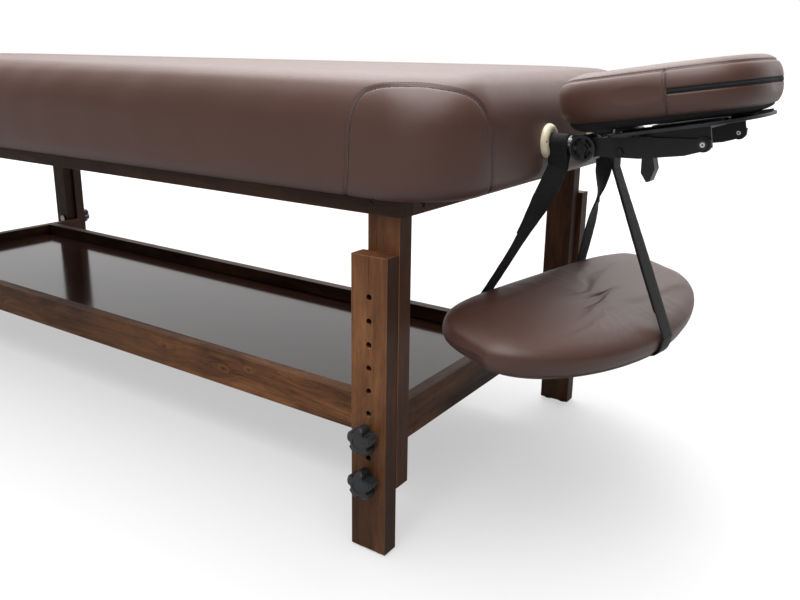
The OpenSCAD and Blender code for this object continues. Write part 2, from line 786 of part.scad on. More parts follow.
tie_nut_share = 0.8;
module tie_rod() {
  color(steel) placed() {
    y_rod(tie_x, -arm_y - arm_t, tie_z, 2 * (arm_y + arm_t), tie_d / 2);
    for (s = [-1, 1]) side(s) y_rod(tie_x, arm_y + arm_t, tie_z, pin_head_h, tie_d * tie_nut_share, 6);
  }
}

// Cam lever: an off-centre drum on the tie rod with a paddle below it
lever_w = 20;
drum_d = 22;
drum_off = 2;
paddle_shares = [[-0.2, 0], [0.02, -0.31], [0.03, -0.73], [0.2, -0.98], [0.3, -0.95], [0.41, -0.6],
  [0.26, 0]];
module cam_lever() {
  color(black) placed() difference() {
    translate([tie_x, lever_w / 2, tie_z]) rotate([90, 0, 0]) linear_extrude(lever_w) {
      translate([drum_off, 0]) circle(r = drum_d / 2, $fn = small_fn);
      polygon([for (p = paddle_shares) [lever_length * p[0], lever_length * p[1]]]);
    }
    y_rod(tie_x, -lever_w, tie_z, 2 * lever_w, tie_d / 2 + run_fit);
  }
}

// Platform: a sloping plate with the face opening, over a bracket with two
// flanges that hang on the outer pins
module on_platform() {
  placed() translate([pivot_x, 0, pivot_z]) rotate([0, -platform_tilt, 0]) children();
}

plate_corner_share = 0.2;
mouth_share = 0.36;
module platform_plate() {
  x0 = plate_front - platform_length;
  r = platform_width * plate_corner_share;
  hx = platform_length / 2;
  hy = platform_width / 2;
  mouth = face_hole_l * mouth_share;
  color(black) on_platform() translate([0, 0, platform_lift - platform_t])
    linear_extrude(platform_t) difference() {
      translate([x0 + hx, 0]) {
        translate([-r / 2, 0]) square([2 * hx - r, 2 * hy], center = true);
        square([2 * hx, 2 * (hy - r)], center = true);
        for (k = [-1, 1]) translate([hx - r, k * (hy - r)]) circle(r = r, $fn = big_fn);
      }
      translate([x0 - overrun, -face_hole_w / 2]) square([mouth + overrun, face_hole_w]);
      translate([x0 + mouth, 0]) circle(r = face_hole_w / 2, $fn = big_fn);
    }
}

flange_back_share = 0.42;
flange_front = 9.5;
web_depth = 20;
module platform_bracket() {
  top = platform_lift - platform_t;
  back = arm_length * flange_back_share;
  web_y = flange_y - bracket_t;
  color(black) on_platform() {
    for (s = [-1, 1]) side(s) difference() {
      translate([0, flange_y, 0]) rotate([90, 0, 0]) linear_extrude(bracket_t) {
        polygon([[-back, top], [-back, top - flange_front], [-flange_front, -flange_front / 2],
          [flange_front, -flange_front / 2], [flange_front, top]]);
        circle(r = flange_front, $fn = small_fn);
      }
      y_rod(0, web_y - overrun, 0, bracket_t + 2 * overrun, pin_d / 2 + run_fit);
    }
    block([flange_front - web_depth, -web_y, top - bracket_t], [flange_front, web_y, top]);
  }
}

grip_w = 26;
grip_in_share = 0.36;
grip_front_share = 0.2;
grip_front_x = platform_length * grip_front_share;
module grip_strips() {
  x0 = plate_front - platform_length + grip_w / 2;
  y0 = platform_width * grip_in_share - grip_w / 2;
  x1 = grip_front_x - grip_w / 2;
  color(black) on_platform() {
    for (s = [-1, 1]) side(s) translate([x0, y0, platform_lift]) cube([x1 - x0, grip_w, grip_t]);
    translate([x1, -platform_width / 4, platform_lift]) cube([grip_w, platform_width / 2, grip_t]);
  }
}

// Face cushion: a fat horseshoe, open toward the table, with a high crown.
// It rests on the grip strips at the head end of the platform.
cushion_power = 3.2;
cushion_roll = 2.7;
cushion_steps = 30;
cushion_points = 18;
chin_wall_share = 1 / 3;
tip_shares = [0.55, 0.8, 0.93, 1];
cushion_rest_x = grip_front_x;
cushion_rest_z = platform_lift + grip_t + soft_gap;
cushion_front_x = pivot_x + cushion_rest_x * cos(platform_tilt) - cushion_rest_z * sin(platform_tilt);
cushion_low_z = pivot_z + cushion_rest_x * sin(platform_tilt) + cushion_rest_z * cos(platform_tilt);
cushion_mid_x = pad_end_x + cushion_gap + cushion_length / 2 * cos(cushion_tilt);
cushion_mid_z = cushion_low_z - (cushion_front_x - cushion_mid_x) * tan(cushion_tilt);

function signed_pow(v, p) = sign(v) * pow(abs(v), p);
function super_r(a, hx, hy, p) = pow(pow(abs(cos(a)) / hx, p) + pow(abs(sin(a)) / hy, p), -1 / p);

module face_cushion() {
  hx = cushion_length / 2;
  hy = cushion_width / 2;
  half_gap = atan2(chin_gap / 2 + (hy - face_hole_w / 2) * chin_wall_share, hx);
  last = cushion_steps;
  rings = [for (i = [0:last])
    let (
      a = (180 - half_gap) * (2 * i / last - 1),
      near_tip = min(i, last - i),
      k = near_tip < len(tip_shares) ? tip_shares[near_tip] : 1,
      out_r = super_r(a, hx, hy, cushion_power),
      in_r = super_r(a, face_hole_l / 2, face_hole_w / 2, 2),
      mid = (out_r + in_r) / 2,
      half = (out_r - in_r) / 2 * k
    )
    [for (j = [0:cushion_points - 1])
      let (
        b = -360 * j / cushion_points,
        u = signed_pow(cos(b), 2 / cushion_roll),
        v = signed_pow(sin(b), 2 / cushion_roll),
        r = mid + half * u,
        z = cushion_h / 2 + cushion_h / 2 * v * k
      )
      [r * cos(a), r * sin(a), z]
    ]
  ];
  color(leather) placed() translate([cushion_mid_x, 0, cushion_mid_z])
    rotate([0, -cushion_tilt, 0]) skin(rings);
}

// Armrest pad: a half moon with an almost straight back edge, hung at a slope
rest_back_power = 4.7;
rest_front_power = 1.9;
rest_steps = 48;
rest_shares = [[-0.5, 0.3], [-0.47, 0.16], [-0.36, 0.05], [-0.18, 0.005], [0, 0], [0.16, 0.015],
  [0.29, 0.07], [0.385, 0.16], [0.45, 0.3], [0.485, 0.47], [0.5, 0.68]];
function rest_outline(a, k) =
  let (hu = rest_depth / 2 * k, hv = rest_length / 2 * (1 - (1 - k) * rest_depth / rest_length),
       r = super_r(a, hu, hv, cos(a) < 0 ? rest_back_power : rest_front_power))
  [r * cos(a), r * sin(a)];

module on_rest() {
  placed() translate([rest_mid_x, rest_mid_y, rest_mid_z])
    rotate([0, 0, rest_skew]) rotate([0, rest_tilt, 0]) children();
}

module armrest_pad() {
  rings = [for (s = rest_shares) [for (i = [0:rest_steps - 1])
    let (p = rest_outline(360 * i / rest_steps, 1 - s[1])) [p[0], p[1], rest_h * s[0]]]];
  color(leather) on_rest() skin(rings);
}

// Place and direction of a point on the hanging armrest, in table places
function rest_turn(p) =
  let (x = p[0] * cos(rest_tilt) + p[2] * sin(rest_tilt), z = p[2] * cos(rest_tilt) - p[0] * sin(rest_tilt))
  [x * cos(rest_skew) - p[1] * sin(rest_skew), x * sin(rest_skew) + p[1] * cos(rest_skew), z];
function rest_place(p) = rest_turn(p) + [rest_mid_x, rest_mid_y, rest_mid_z];

// Straps: a loop round a rod or tube, then two layers that run as one band to
// the edge of the pad, turning from the rod's direction to the edge's
band_t = 2 * strap_t;
strap_steps = 14;
twist_share = 0.7;
rod_sag = 1.25;
front_sag = 1;
loop_fn = 48;
function ease(t) = let (k = min(1, t / twist_share)) k * k * (3 - 2 * k);
function unit(v) = v / norm(v);

module band(a, b, wide_a, wide_b, sag) {
  rings = [for (i = [0:strap_steps])
    let (
      t = i / strap_steps,
      c = [a[0] + (b[0] - a[0]) * pow(t, sag), a[1] + (b[1] - a[1]) * t, a[2] + (b[2] - a[2]) * t],
      run = unit([(b[0] - a[0]) * sag * pow(t, sag - 1), b[1] - a[1], b[2] - a[2]]),
      k = ease(t),
      w0 = wide_a * (1 - k) + wide_b * k,
      w = unit(w0 - run * (w0 * run)) * (strap_w - soft_gap) / 2,
      n = unit(cross(run, w)) * band_t / 2
    )
    [c - w - n, c + w - n, c + w + n, c - w + n]];
  skin(rings);
}

// Loop of strap round a bar of radius r, its axis along X or along Y
module strap_loop(c, r, along_x) {
  translate(c) rotate(along_x ? [0, 90, 0] : [90, 0, 0]) difference() {
    cylinder(h = strap_w, r = r + soft_gap + strap_t, center = true, $fn = loop_fn);
    cylinder(h = strap_w + overrun, r = r + soft_gap, center = true, $fn = loop_fn);
  }
}

strap_clear = 2.4;
rod_strap_x = pad_end_x + grommet_proud + strap_clear + strap_w / 2;
near_v_share = -0.225;
far_v_share = 0.277;
front_v_share = 0.025;
front_seat_shares = [0.16, 0.015];
front_lean = 1.3;
module rod_strap(s, v_share) {
  top = [rod_strap_x, s * rod_y, rod_z - rod_r - soft_gap - strap_t / 2];
  bottom = rest_place([-rest_depth / 2 - soft_gap - band_t / 2, rest_length * v_share, 0]);
  color(black) placed() {
    strap_loop([rod_strap_x, s * rod_y, rod_z], rod_r, true);
    band(top, bottom, [1, 0, 0], rest_turn([0, -s, 0]), rod_sag);
  }
}

module strap_near() { rod_strap(-1, near_v_share); }
module strap_far() { rod_strap(1, far_v_share); }

module strap_front() {
  v = rest_length * front_v_share;
  top = [hub_x, v - strap_w / 2, hub_z - cross_d / 2 - soft_gap - strap_t / 2];
  u = rest_depth / 2 * (1 - front_seat_shares[1]) + (band_t / 2 + soft_gap) * front_lean;
  bottom = rest_place([u, v, rest_h * front_seat_shares[0]]);
  color(black) placed() {
    strap_loop([hub_x, top[1], hub_z], cross_d / 2, false);
    band(top, bottom, [0, 1, 0], rest_turn([0, 1, 0]), front_sag);
  }
}

pad();
deck_board();
skirt_boards();
end_board_head();
end_board_foot();
rail_near();
rail_far();
rail_head();
rail_foot();
cross_slats();
corner_blocks();
post_head_near();
post_head_far();
post_foot_near();
post_foot_far();
tray_rail_near();
tray_rail_far();
tray_rail_head();
tray_rail_foot();
tray_panel();
frame_bolts();
clamp_bolts();
rod_sockets();
grommets();
grommet_screws();
leg_head_near();
leg_head_far();
leg_foot_near();
leg_foot_far();
glides_head_near();
glides_head_far();
glides_foot_near();
glides_foot_far();
knob_head_near_upper();
knob_head_near_lower();
knob_head_far_upper();
knob_head_far_lower();
knob_foot_near_upper();
knob_foot_near_lower();
knob_foot_far_upper();
knob_foot_far_lower();
rods();
cross_tube();
hub_brackets();
hub_wheels();
hub_bolts();
arm_near();
arm_far();
arm_pins();
tie_rod();
cam_lever();
platform_plate();
platform_bracket();
grip_strips();
face_cushion();
armrest_pad();
strap_near();
strap_far();
strap_front();
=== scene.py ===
# %% [markdown]
# # A wooden massage table, dressed for its portrait
#
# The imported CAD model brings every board, bolt and hinge to its place. This lesson adds what CAD
# can't: stained wood with grain and knots, a soft brown leather cover with sewn corner patches,
# a stitched face cushion with a zip, an armrest that hangs from ribbed straps, and studio light.
#
# Everything is in metres, in the frame of the CAD model: +X runs to the head end, +Y to the far
# side, +Z up.

import math

import bmesh
import bpy
import numpy as np
from mathutils import Matrix, Vector


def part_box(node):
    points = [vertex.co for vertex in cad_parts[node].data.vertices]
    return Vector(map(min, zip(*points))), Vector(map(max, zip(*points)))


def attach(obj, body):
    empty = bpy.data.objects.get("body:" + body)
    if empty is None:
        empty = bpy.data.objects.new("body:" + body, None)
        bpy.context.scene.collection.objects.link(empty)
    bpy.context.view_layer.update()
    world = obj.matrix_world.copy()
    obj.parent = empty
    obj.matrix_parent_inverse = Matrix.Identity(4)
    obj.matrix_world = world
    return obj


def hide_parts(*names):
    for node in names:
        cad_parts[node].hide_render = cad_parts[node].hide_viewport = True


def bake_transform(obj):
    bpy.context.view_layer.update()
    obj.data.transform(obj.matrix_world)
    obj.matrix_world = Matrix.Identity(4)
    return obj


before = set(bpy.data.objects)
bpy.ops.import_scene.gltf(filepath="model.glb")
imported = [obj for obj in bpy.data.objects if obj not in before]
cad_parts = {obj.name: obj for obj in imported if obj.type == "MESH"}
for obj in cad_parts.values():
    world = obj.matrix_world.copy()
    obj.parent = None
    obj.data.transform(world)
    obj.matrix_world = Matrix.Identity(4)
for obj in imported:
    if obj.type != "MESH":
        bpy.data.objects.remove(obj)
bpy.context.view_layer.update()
MM = 0.001

# %% [markdown]
# ## Small helpers
#
# Colours are written as the hex values of a paint program. Blender mixes light in linear values,
# so `paint` turns each hex colour into those. `add` makes one shader node: a plain value is set on
# its socket, and a socket of another node is linked to it. `mottle` is a cloudy pattern at a real
# size, which nearly every surface needs somewhere: dust, rubbing, drifts of colour, fine grit.


# %%
def paint(hex_colour):
    """Hex colour as a linear RGBA value."""
    parts = [int(hex_colour[i : i + 2], 16) / 255 for i in (1, 3, 5)]
    return tuple(c / 12.92 if c <= 0.04045 else ((c + 0.055) / 1.055) ** 2.4 for c in parts) + (1.0,)


def add(tree, kind, inputs=(), give=0, stops=(), **settings):
    """Adds a node, sets its options, fills or links its inputs, and gives one of its outputs.

    `inputs` is a list in the node's own order, or a dictionary by socket name or number. `stops`
    are the (place, hex colour) pairs of a colour ramp.
    """
    node = tree.nodes.new("ShaderNode" + kind)
    for key, value in settings.items():
        setattr(node, key, value)
    for _ in stops[2:]:
        node.color_ramp.elements.new(0.5)
    for number, (place, colour) in enumerate(stops):
        node.color_ramp.elements[number].position = place
        node.color_ramp.elements[number].color = paint(colour)
    for key, value in inputs.items() if isinstance(inputs, dict) else enumerate(inputs):
        if isinstance(value, bpy.types.NodeSocket):
            tree.links.new(value, node.inputs[key])
        else:
            node.inputs[key].default_value = value
    return node.outputs[give] if node.outputs else None


def place_of(tree, stretch=(1, 1, 1), shift=(0, 0, 0)):
    """Real place in metres on the piece, stretched and shifted to fit a pattern."""
    spot = add(tree, "TexCoord", give="Object")
    return add(tree, "Mapping", {"Vector": spot, "Scale": stretch, "Location": shift})


def mottle(tree, per_metre, detail=4.0, rough=0.55, where=None):
    """Cloudy pattern that repeats so often in a metre: 1000 gives specks of a millimetre."""
    spot = place_of(tree) if where is None else where
    amounts = {"Vector": spot, "Scale": per_metre, "Detail": detail, "Roughness": rough}
    return add(tree, "TexNoise", amounts, "Fac")


def soft_edge(tree, radius):
    """Normals rounded over sharp edges, and a mask that is 1 along those edges."""
    rounded = add(tree, "Bevel", {"Radius": radius}, samples=6)
    true = add(tree, "NewGeometry", give="Normal")
    facing = add(tree, "VectorMath", [rounded, true], "Value", operation="DOT_PRODUCT")
    return rounded, add(tree, "MapRange", [facing, 0.995, 0.9, 0.0, 1.0])


def finish(name, make):
    """New material whose look is built by `make`, which returns the surface's inputs."""
    material = bpy.data.materials.new(name)
    material.use_nodes = True
    tree = material.node_tree
    tree.nodes.clear()
    surface = add(tree, "BsdfPrincipled", make(tree))
    add(tree, "OutputMaterial", {"Surface": surface})
    return material


def wear_material(node, material):
    """Gives a CAD piece its material."""
    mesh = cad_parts[node].data
    mesh.materials.clear()
    mesh.materials.append(material)
    for face in mesh.polygons:
        face.material_index = 0


print("helpers ready for", len(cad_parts), "CAD pieces")

# %% [markdown]
# ## Stained wood
#
# The table is softwood under a dark walnut stain, sealed with a thin satin varnish. Fibres run
# along each board, so every pattern is stretched along it and squeezed across it. Three layers
# make the look: streaks of early and late wood about a centimetre apart, fibres of one or two
# millimetres, and clouds where the stain took more or less. The streaks swerve slowly, and swing
# round the knots. Tiny dark pores follow the grain, and edges are paler: partly rubbed stain and
# partly a painted highlight.
#
# Each board gets its own stretch of the tree. Boards differ in stain, as they do on the real table.
# Painted shade darkens the boards that lie in shade under the top and at the far side, the narrow
# sides of the upright boards, the feet of the legs and the foot end of the near tray rail.


# %%
def grained(along, lengthwise, across):
    """Stretch of a pattern along one axis: how often it repeats in a metre each way."""
    return tuple(lengthwise if a == along else across for a in "xyz")


def knot_eyes(tree, along, knots):
    """How near a place is to a knot: more than 1 in the heart of one, almost 0 far from all."""
    eyes = None
    for *centre, radius in knots:
        offset = add(tree, "VectorMath", [place_of(tree), centre], operation="SUBTRACT")
        offset = add(tree, "VectorMath", [offset, grained(along, 0.5, 1.0)], operation="MULTIPLY")
        far = add(tree, "VectorMath", [offset], "Value", operation="LENGTH")
        radii = add(tree, "Math", [far, radius], operation="DIVIDE")
        radii = add(tree, "Math", [radii, 0.6], operation="ADD")
        eye = add(tree, "Math", [radii, -2.0], operation="POWER")
        eyes = eye if eyes is None else add(tree, "Math", [eyes, eye], operation="MAXIMUM")
    return eyes


def stained_wood(name, along, seed, warmth=0.35, shade=0.0, knots=(), figure=0.0, narrow="", fade=None):
    """Dark stained board with its grain along one axis.

    `warmth` says how brown the stain is, `shade` how much painted shade darkens the whole board,
    and `figure` how strongly the grain is mottled. `knots` are (x, y, z, radius). `narrow` is the
    axis that the board's narrow sides face, which painted shade darkens. `fade` is painted shade
    along the board: the place where it is darkest, the place where it is gone, and how dark it gets.
    """

    def make(tree):
        shift = (seed * 1.7, seed * 2.3, seed * 3.1)
        swerve = mottle(tree, 1.0, 2.0, where=place_of(tree, grained(along, 3, 9), shift))
        bend = add(tree, "Math", [swerve, 0.02 + 0.05 * figure], operation="MULTIPLY")
        eyes = knot_eyes(tree, along, knots)
        if eyes is not None:
            bend = add(tree, "Math", [eyes, 0.022, bend], operation="MULTIPLY_ADD")
        sway = add(tree, "CombineXYZ", [0.0 if a == along else bend for a in "xyz"])
        spot = add(tree, "VectorMath", [add(tree, "TexCoord", give="Object"), sway], operation="ADD")

        def layer(lengthwise, across, detail, rough):
            scale = grained(along, lengthwise, across)
            where = add(tree, "Mapping", {"Vector": spot, "Scale": scale, "Location": shift})
            return mottle(tree, 1.0, detail, rough, where)

        streaks, fibres = layer(1.6, 85, 3.0, 0.6), layer(10, 520, 4.0, 0.7)
        cloud = layer(4.5, 14, 4.0, 0.62)
        pores = add(tree, "MapRange", [layer(45, 1300, 2.0, 0.6), 0.57, 0.7, 0.0, 1.0])
        tone = 0.0
        for pattern, share in ((streaks, 0.42), (fibres, 0.30), (cloud, 0.28)):
            tone = add(tree, "Math", [pattern, share, tone], operation="MULTIPLY_ADD")
        spread = 0.18 - 0.07 * figure
        places = (0.5 - spread, 0.5, 0.5 + spread)
        dark, warm = (
            add(tree, "ValToRGB", [tone], stops=list(zip(places, colours)))
            for colours in (("#2b170e", "#452717", "#5c3621"), ("#5a3822", "#7f5435", "#9b6840"))
        )
        lit = add(tree, "MapRange", [cloud, 0.4, 0.62, warmth - 0.3, warmth + 0.35])
        colour = add(tree, "Mix", {0: lit, 6: dark, 7: warm}, 2, data_type="RGBA")

        # what lies over the stain, each as an amount and a colour: pores, knots, pale edges and painted shade
        rounded, edge = soft_edge(tree, 1.6 * MM)
        over = [(add(tree, "Math", [pores, 0.45], operation="MULTIPLY"), "#1d0f0a")]
        if eyes is not None:
            ring = add(tree, "Math", [eyes, 0.62], operation="SUBTRACT")
            ring = add(tree, "Math", [ring], operation="ABSOLUTE")
            over.append((add(tree, "MapRange", [eyes, 0.75, 2.4, 0.0, 0.85]), "#1f0f09"))
            over.append((add(tree, "MapRange", [ring, 0.0, 0.14, 0.5, 0.0]), "#99643c"))
        # edges are paler: partly rubbed stain, partly a painted highlight
        over.append((add(tree, "Math", [edge, 0.45], operation="MULTIPLY"), "#a87f60"))
        # painted shade over the whole board, for boards that lie in shade
        if shade:
            over.append((shade, PAINTED_SHADE_TINT))
        # painted shade that fades out along the board: toward the feet of the legs and the foot end of the
        # near tray rail
        if fade:
            darkest_at, normal, depth = fade
            run = add(tree, "SeparateXYZ", [place_of(tree)], along.upper())
            limits = [run, darkest_at, normal, depth, 0.0]
            over.append((add(tree, "MapRange", limits, interpolation_type="SMOOTHSTEP"), PAINTED_SHADE_TINT))
        # painted shade on the narrow sides of the upright boards, which face away from the light
        if narrow:
            facing = add(tree, "SeparateXYZ", [add(tree, "NewGeometry", give="Normal")], narrow.upper())
            facing = add(tree, "Math", [facing], operation="ABSOLUTE")
            over.append((add(tree, "MapRange", [facing, 0.3, 0.8, 0.0, 0.72]), "#2a1811"))
        for amount, tint in over:
            colour = add(tree, "Mix", {0: amount, 6: colour, 7: paint(tint)}, 2, data_type="RGBA")

        relief = add(tree, "Math", [streaks, 0.5, fibres], operation="MULTIPLY_ADD")
        relief = add(tree, "Math", [pores, -0.8, relief], operation="MULTIPLY_ADD")
        depth = {"Height": relief, "Distance": 0.35 * MM, "Strength": 0.8, "Normal": rounded}
        return {
            "Base Color": colour,
            "Roughness": add(tree, "MapRange", [mottle(tree, 38.0, 3.0), 0, 1, 0.46, 0.6]),
            "Normal": add(tree, "Bump", depth),
            "Specular IOR Level": 0.2,
        }

    return finish(name, make)


# colour of the painted shade on the boards
PAINTED_SHADE_TINT = "#160c08"
print("wood ready")

# %%
# each board: the axis of its grain, how warm its stain is, and how much painted shade darkens it
boards = {
    "rail_near": ("x", 0.2, 0.66), "rail_far": ("x", 0.2, 0.6),
    "rail_head": ("y", 0.15, 0.45), "rail_foot": ("y", 0.15, 0.45),
    "tray_rail_near": ("x", 0.85, 0.0), "tray_rail_far": ("x", 0.3, 0.6),
    "tray_rail_head": ("y", 0.4, 0.4), "tray_rail_foot": ("y", 0.3, 0.6),
    "post_head_near": ("z", 0.95, 0.0), "post_head_far": ("z", 0.25, 0.1),
    "post_foot_near": ("z", 0.4, 0.1), "post_foot_far": ("z", 0.2, 0.5),
    "leg_head_near": ("z", 0.85, 0.0), "leg_head_far": ("z", 0.4, 0.0),
    "leg_foot_near": ("z", 0.6, 0.0), "leg_foot_far": ("z", 0.3, 0.4),
    "corner_blocks": ("z", 0.2, 0.3), "cross_slats": ("y", 0.3, 0.3),
}
# knots in the near tray rail, in metres from its lower foot end: along, up, and radius
tray_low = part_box("tray_rail_near")[0]
knots = [
    (tray_low.x + x, tray_low.y, tray_low.z + z, radius)
    for x, z, radius in ((1.13, 0.030, 0.009), (1.19, 0.042, 0.006), (0.98, 0.036, 0.005), (0.45, 0.02, 0.007))
]
# painted shade toward the feet of the legs and the foot end of the near tray rail: where it is darkest, where
# it is gone, and how dark
LEG_FADE, RAIL_FADE = (0.06, 0.3, 0.5), (0.02, 0.28, 0.5)
for seed, (node, (along, warmth, shade)) in enumerate(boards.items()):
    look = {
        "figure": 1.0 if node.startswith("tray") else 0.2,
        "knots": knots if node == "tray_rail_near" else (),
        "narrow": "x" if along == "z" else "",
        "fade": LEG_FADE if node.startswith("leg") else RAIL_FADE if node == "tray_rail_near" else None,
    }
    name = "stained wood of " + node.replace("_", " ")
    wear_material(node, stained_wood(name, along, seed + 1, warmth, shade, **look))
print("stained boards:", len(boards))

# %% [markdown]
# ## Metal, plastic and webbing
#
# Powder coat is black paint baked on steel, with a fine orange-peel relief. Moulded plastic has a
# softer sheen and is a little greyer where hands and light reach it. Steel is drawn or plated, so
# its scratches run one way, and bolts are blackened. Webbing is woven polypropylene: ribs across
# the strap every few millimetres and rows of yarn along it, drawn a little coarser than the real
# ones so that they show. Each finish is one cloudy pattern that drives a colour ramp and the
# roughness, with a finer pattern as relief.


# %%
def powder_coat(tree):
    dust, peel = mottle(tree, 24.0), mottle(tree, 900.0, 2.0)
    return {
        "Base Color": add(tree, "ValToRGB", [dust], stops=[(0.3, "#101012"), (0.75, "#1c1c1f")]),
        "Roughness": add(tree, "MapRange", [dust, 0, 1, 0.34, 0.5]),
        "Specular IOR Level": 0.35,
        "Normal": add(tree, "Bump", {"Height": peel, "Distance": 0.12 * MM, "Strength": 0.6}),
    }


def moulded_plastic(tree):
    rub, grain = mottle(tree, 60.0, 3.0), mottle(tree, 1600.0, 2.0)
    return {
        "Base Color": add(tree, "ValToRGB", [rub], stops=[(0.3, "#121315"), (0.8, "#25272a")]),
        "Roughness": add(tree, "MapRange", [rub, 0, 1, 0.36, 0.52]),
        "Normal": add(tree, "Bump", {"Height": grain, "Distance": 0.08 * MM, "Strength": 0.5}),
    }


def cream_plastic(tree):
    """Light sinks into pale plastic a few millimetres, which softens it."""
    cloud, grain = mottle(tree, 80.0, 3.0), mottle(tree, 500.0, 2.0)
    return {
        "Base Color": add(tree, "ValToRGB", [cloud], stops=[(0.3, "#d8cba9"), (0.75, "#efe7cf")]),
        "Roughness": 0.32,
        "Subsurface Weight": 0.12,
        "Subsurface Radius": (0.004, 0.003, 0.002),
        "Coat Weight": 0.2,
        "Normal": add(tree, "Bump", {"Height": grain, "Distance": 0.05 * MM, "Strength": 0.5}),
    }


def steel(tree):
    """Drawn or plated steel: the scratches are long along X and half a millimetre apart."""
    scratch = mottle(tree, 1.0, 3.0, where=place_of(tree, (60, 2200, 2200)))
    return {
        "Base Color": add(tree, "ValToRGB", [scratch], stops=[(0.3, "#6c6c6e"), (0.75, "#a9a9ab")]),
        "Metallic": 1.0,
        "Roughness": add(tree, "MapRange", [scratch, 0, 1, 0.26, 0.42]),
        "Normal": add(tree, "Bump", {"Height": scratch, "Distance": 0.04 * MM, "Strength": 0.4}),
    }


def blackened_steel(tree):
    rub = mottle(tree, 220.0, 3.0)
    return {
        "Base Color": add(tree, "ValToRGB", [rub], stops=[(0.35, "#151517"), (0.8, "#2f2f31")]),
        "Metallic": 0.6,
        "Roughness": add(tree, "MapRange", [rub, 0, 1, 0.3, 0.45]),
        "Normal": add(tree, "Bump", {"Height": rub, "Distance": 0.05 * MM, "Strength": 0.5}),
    }


def pin_heads(tree):
    """Black pins with a bright rolled rivet in the middle of each head."""
    low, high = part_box("arm_pins")
    centre = ((low.x + high.x) / 2, 0.0, (low.z + high.z) / 2)
    offset = add(tree, "VectorMath", [place_of(tree), centre], operation="SUBTRACT")
    offset = add(tree, "VectorMath", [offset, (1, 0, 1)], operation="MULTIPLY")
    far = add(tree, "VectorMath", [offset], "Value", operation="LENGTH")
    rim = add(tree, "MapRange", [far, 2.8 * MM, 3.4 * MM, 1.0, 0.0])
    core = add(tree, "MapRange", [far, 0.8 * MM, 1.3 * MM, 0.0, 1.0])
    bright = add(tree, "Math", [rim, core], operation="MULTIPLY")
    tints = {0: bright, 6: paint("#1a1a1c"), 7: paint("#d9d9db")}
    return {
        "Base Color": add(tree, "Mix", tints, 2, data_type="RGBA"),
        "Metallic": add(tree, "Math", [bright, 0.9], operation="MULTIPLY"),
        "Roughness": 0.35,
        "Normal": add(tree, "Bump", {"Height": bright, "Distance": 0.6 * MM, "Strength": 0.8}),
    }


def webbing(tree):
    """Ribs across the strap and rows of yarn along it, drawn in the strap's own map of length and
    width in metres."""
    map_of_strap = add(tree, "UVMap", uv_map="weave")
    ribs, yarns = (
        add(
            tree, "TexWave", {"Vector": map_of_strap, "Scale": scale, "Distortion": wobble, "Detail": 1.0},
            "Fac", wave_type="BANDS", bands_direction=direction,
        )
        for scale, wobble, direction in ((130.0, 0.6, "X"), (210.0, 0.4, "Y"))
    )
    rows = add(tree, "Math", [yarns, 0.6, 0.4], operation="MULTIPLY_ADD")
    weave = add(tree, "Math", [ribs, rows], operation="MULTIPLY")
    fluff = add(tree, "Math", [mottle(tree, 300.0), 0.4], operation="MULTIPLY")
    # painted shade: the grooves of the weave come out darker than its ridges
    tone = add(tree, "Math", [weave, 0.6, fluff], operation="MULTIPLY_ADD")
    shades = [(0.15, "#060607"), (0.55, "#121214"), (0.95, "#252427")]
    return {
        "Base Color": add(tree, "ValToRGB", [tone], stops=shades),
        "Roughness": 0.62,
        "Sheen Weight": 0.12,
        "Sheen Roughness": 0.4,
        "Specular IOR Level": 0.25,
        "Normal": add(tree, "Bump", {"Height": weave, "Distance": 0.5 * MM, "Strength": 0.8}),
    }


def grip_tape(tree):
    """Black cloth of tiny loops, a millimetre apart, that swallows light."""
    loops = add(tree, "TexVoronoi", {"Vector": place_of(tree), "Scale": 900.0}, "Distance")
    return {
        "Base Color": paint("#0e0e10"),
        "Roughness": 0.9,
        "Normal": add(tree, "Bump", {"Height": loops, "Distance": 0.6 * MM, "Strength": 0.9}),
    }


plastic = finish("black moulded plastic", moulded_plastic)
web = finish("black webbing", webbing)
zip_cloth = finish("zip cloth", grip_tape)
loop_cloth = finish("black loop cloth", grip_tape)
print("metal, plastic and webbing ready")

# %%
# each finish, and the starts of the names of the CAD pieces that wear it
dressed = (
    (plastic, ("knob", "glides", "hub_brackets", "hub_wheels", "cam_lever", "platform_plate")),
    (finish("black powder coat", powder_coat), ("cross_tube", "arm_near", "arm_far", "platform_bracket")),
    (finish("plated steel", steel), ("clamp_bolts", "rod_sockets", "grommet_screws", "rods")),
    (finish("blackened steel", blackened_steel), ("frame_bolts", "hub_bolts", "tie_rod")),
    (finish("black pins with bright rivets", pin_heads), ("arm_pins",)),
    (stained_wood("hidden boards", "x", 40, 0.8), ("deck_board", "skirt_boards", "end_board")),
    (finish("cream plastic", cream_plastic), ("grommets",)),
    (finish("grip tape", grip_tape), ("grip_strips",)),
)
for material, starts in dressed:
    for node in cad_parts:
        if node.startswith(starts):
            wear_material(node, material)
print("finishes on the CAD pieces:", len(dressed))

# %% [markdown]
# ## Leather and thread
#
# The cover is a coated fabric made to look like smooth upholstery leather. Seen close, its skin is
# a net of tiny creases about a millimetre and a half apart, and light slides over it in a broad,
# soft sheen, so its roughness is near 0.45. The colour drifts a little. The thread is dark, with
# a twist that is drawn as slanting bands a millimetre apart.


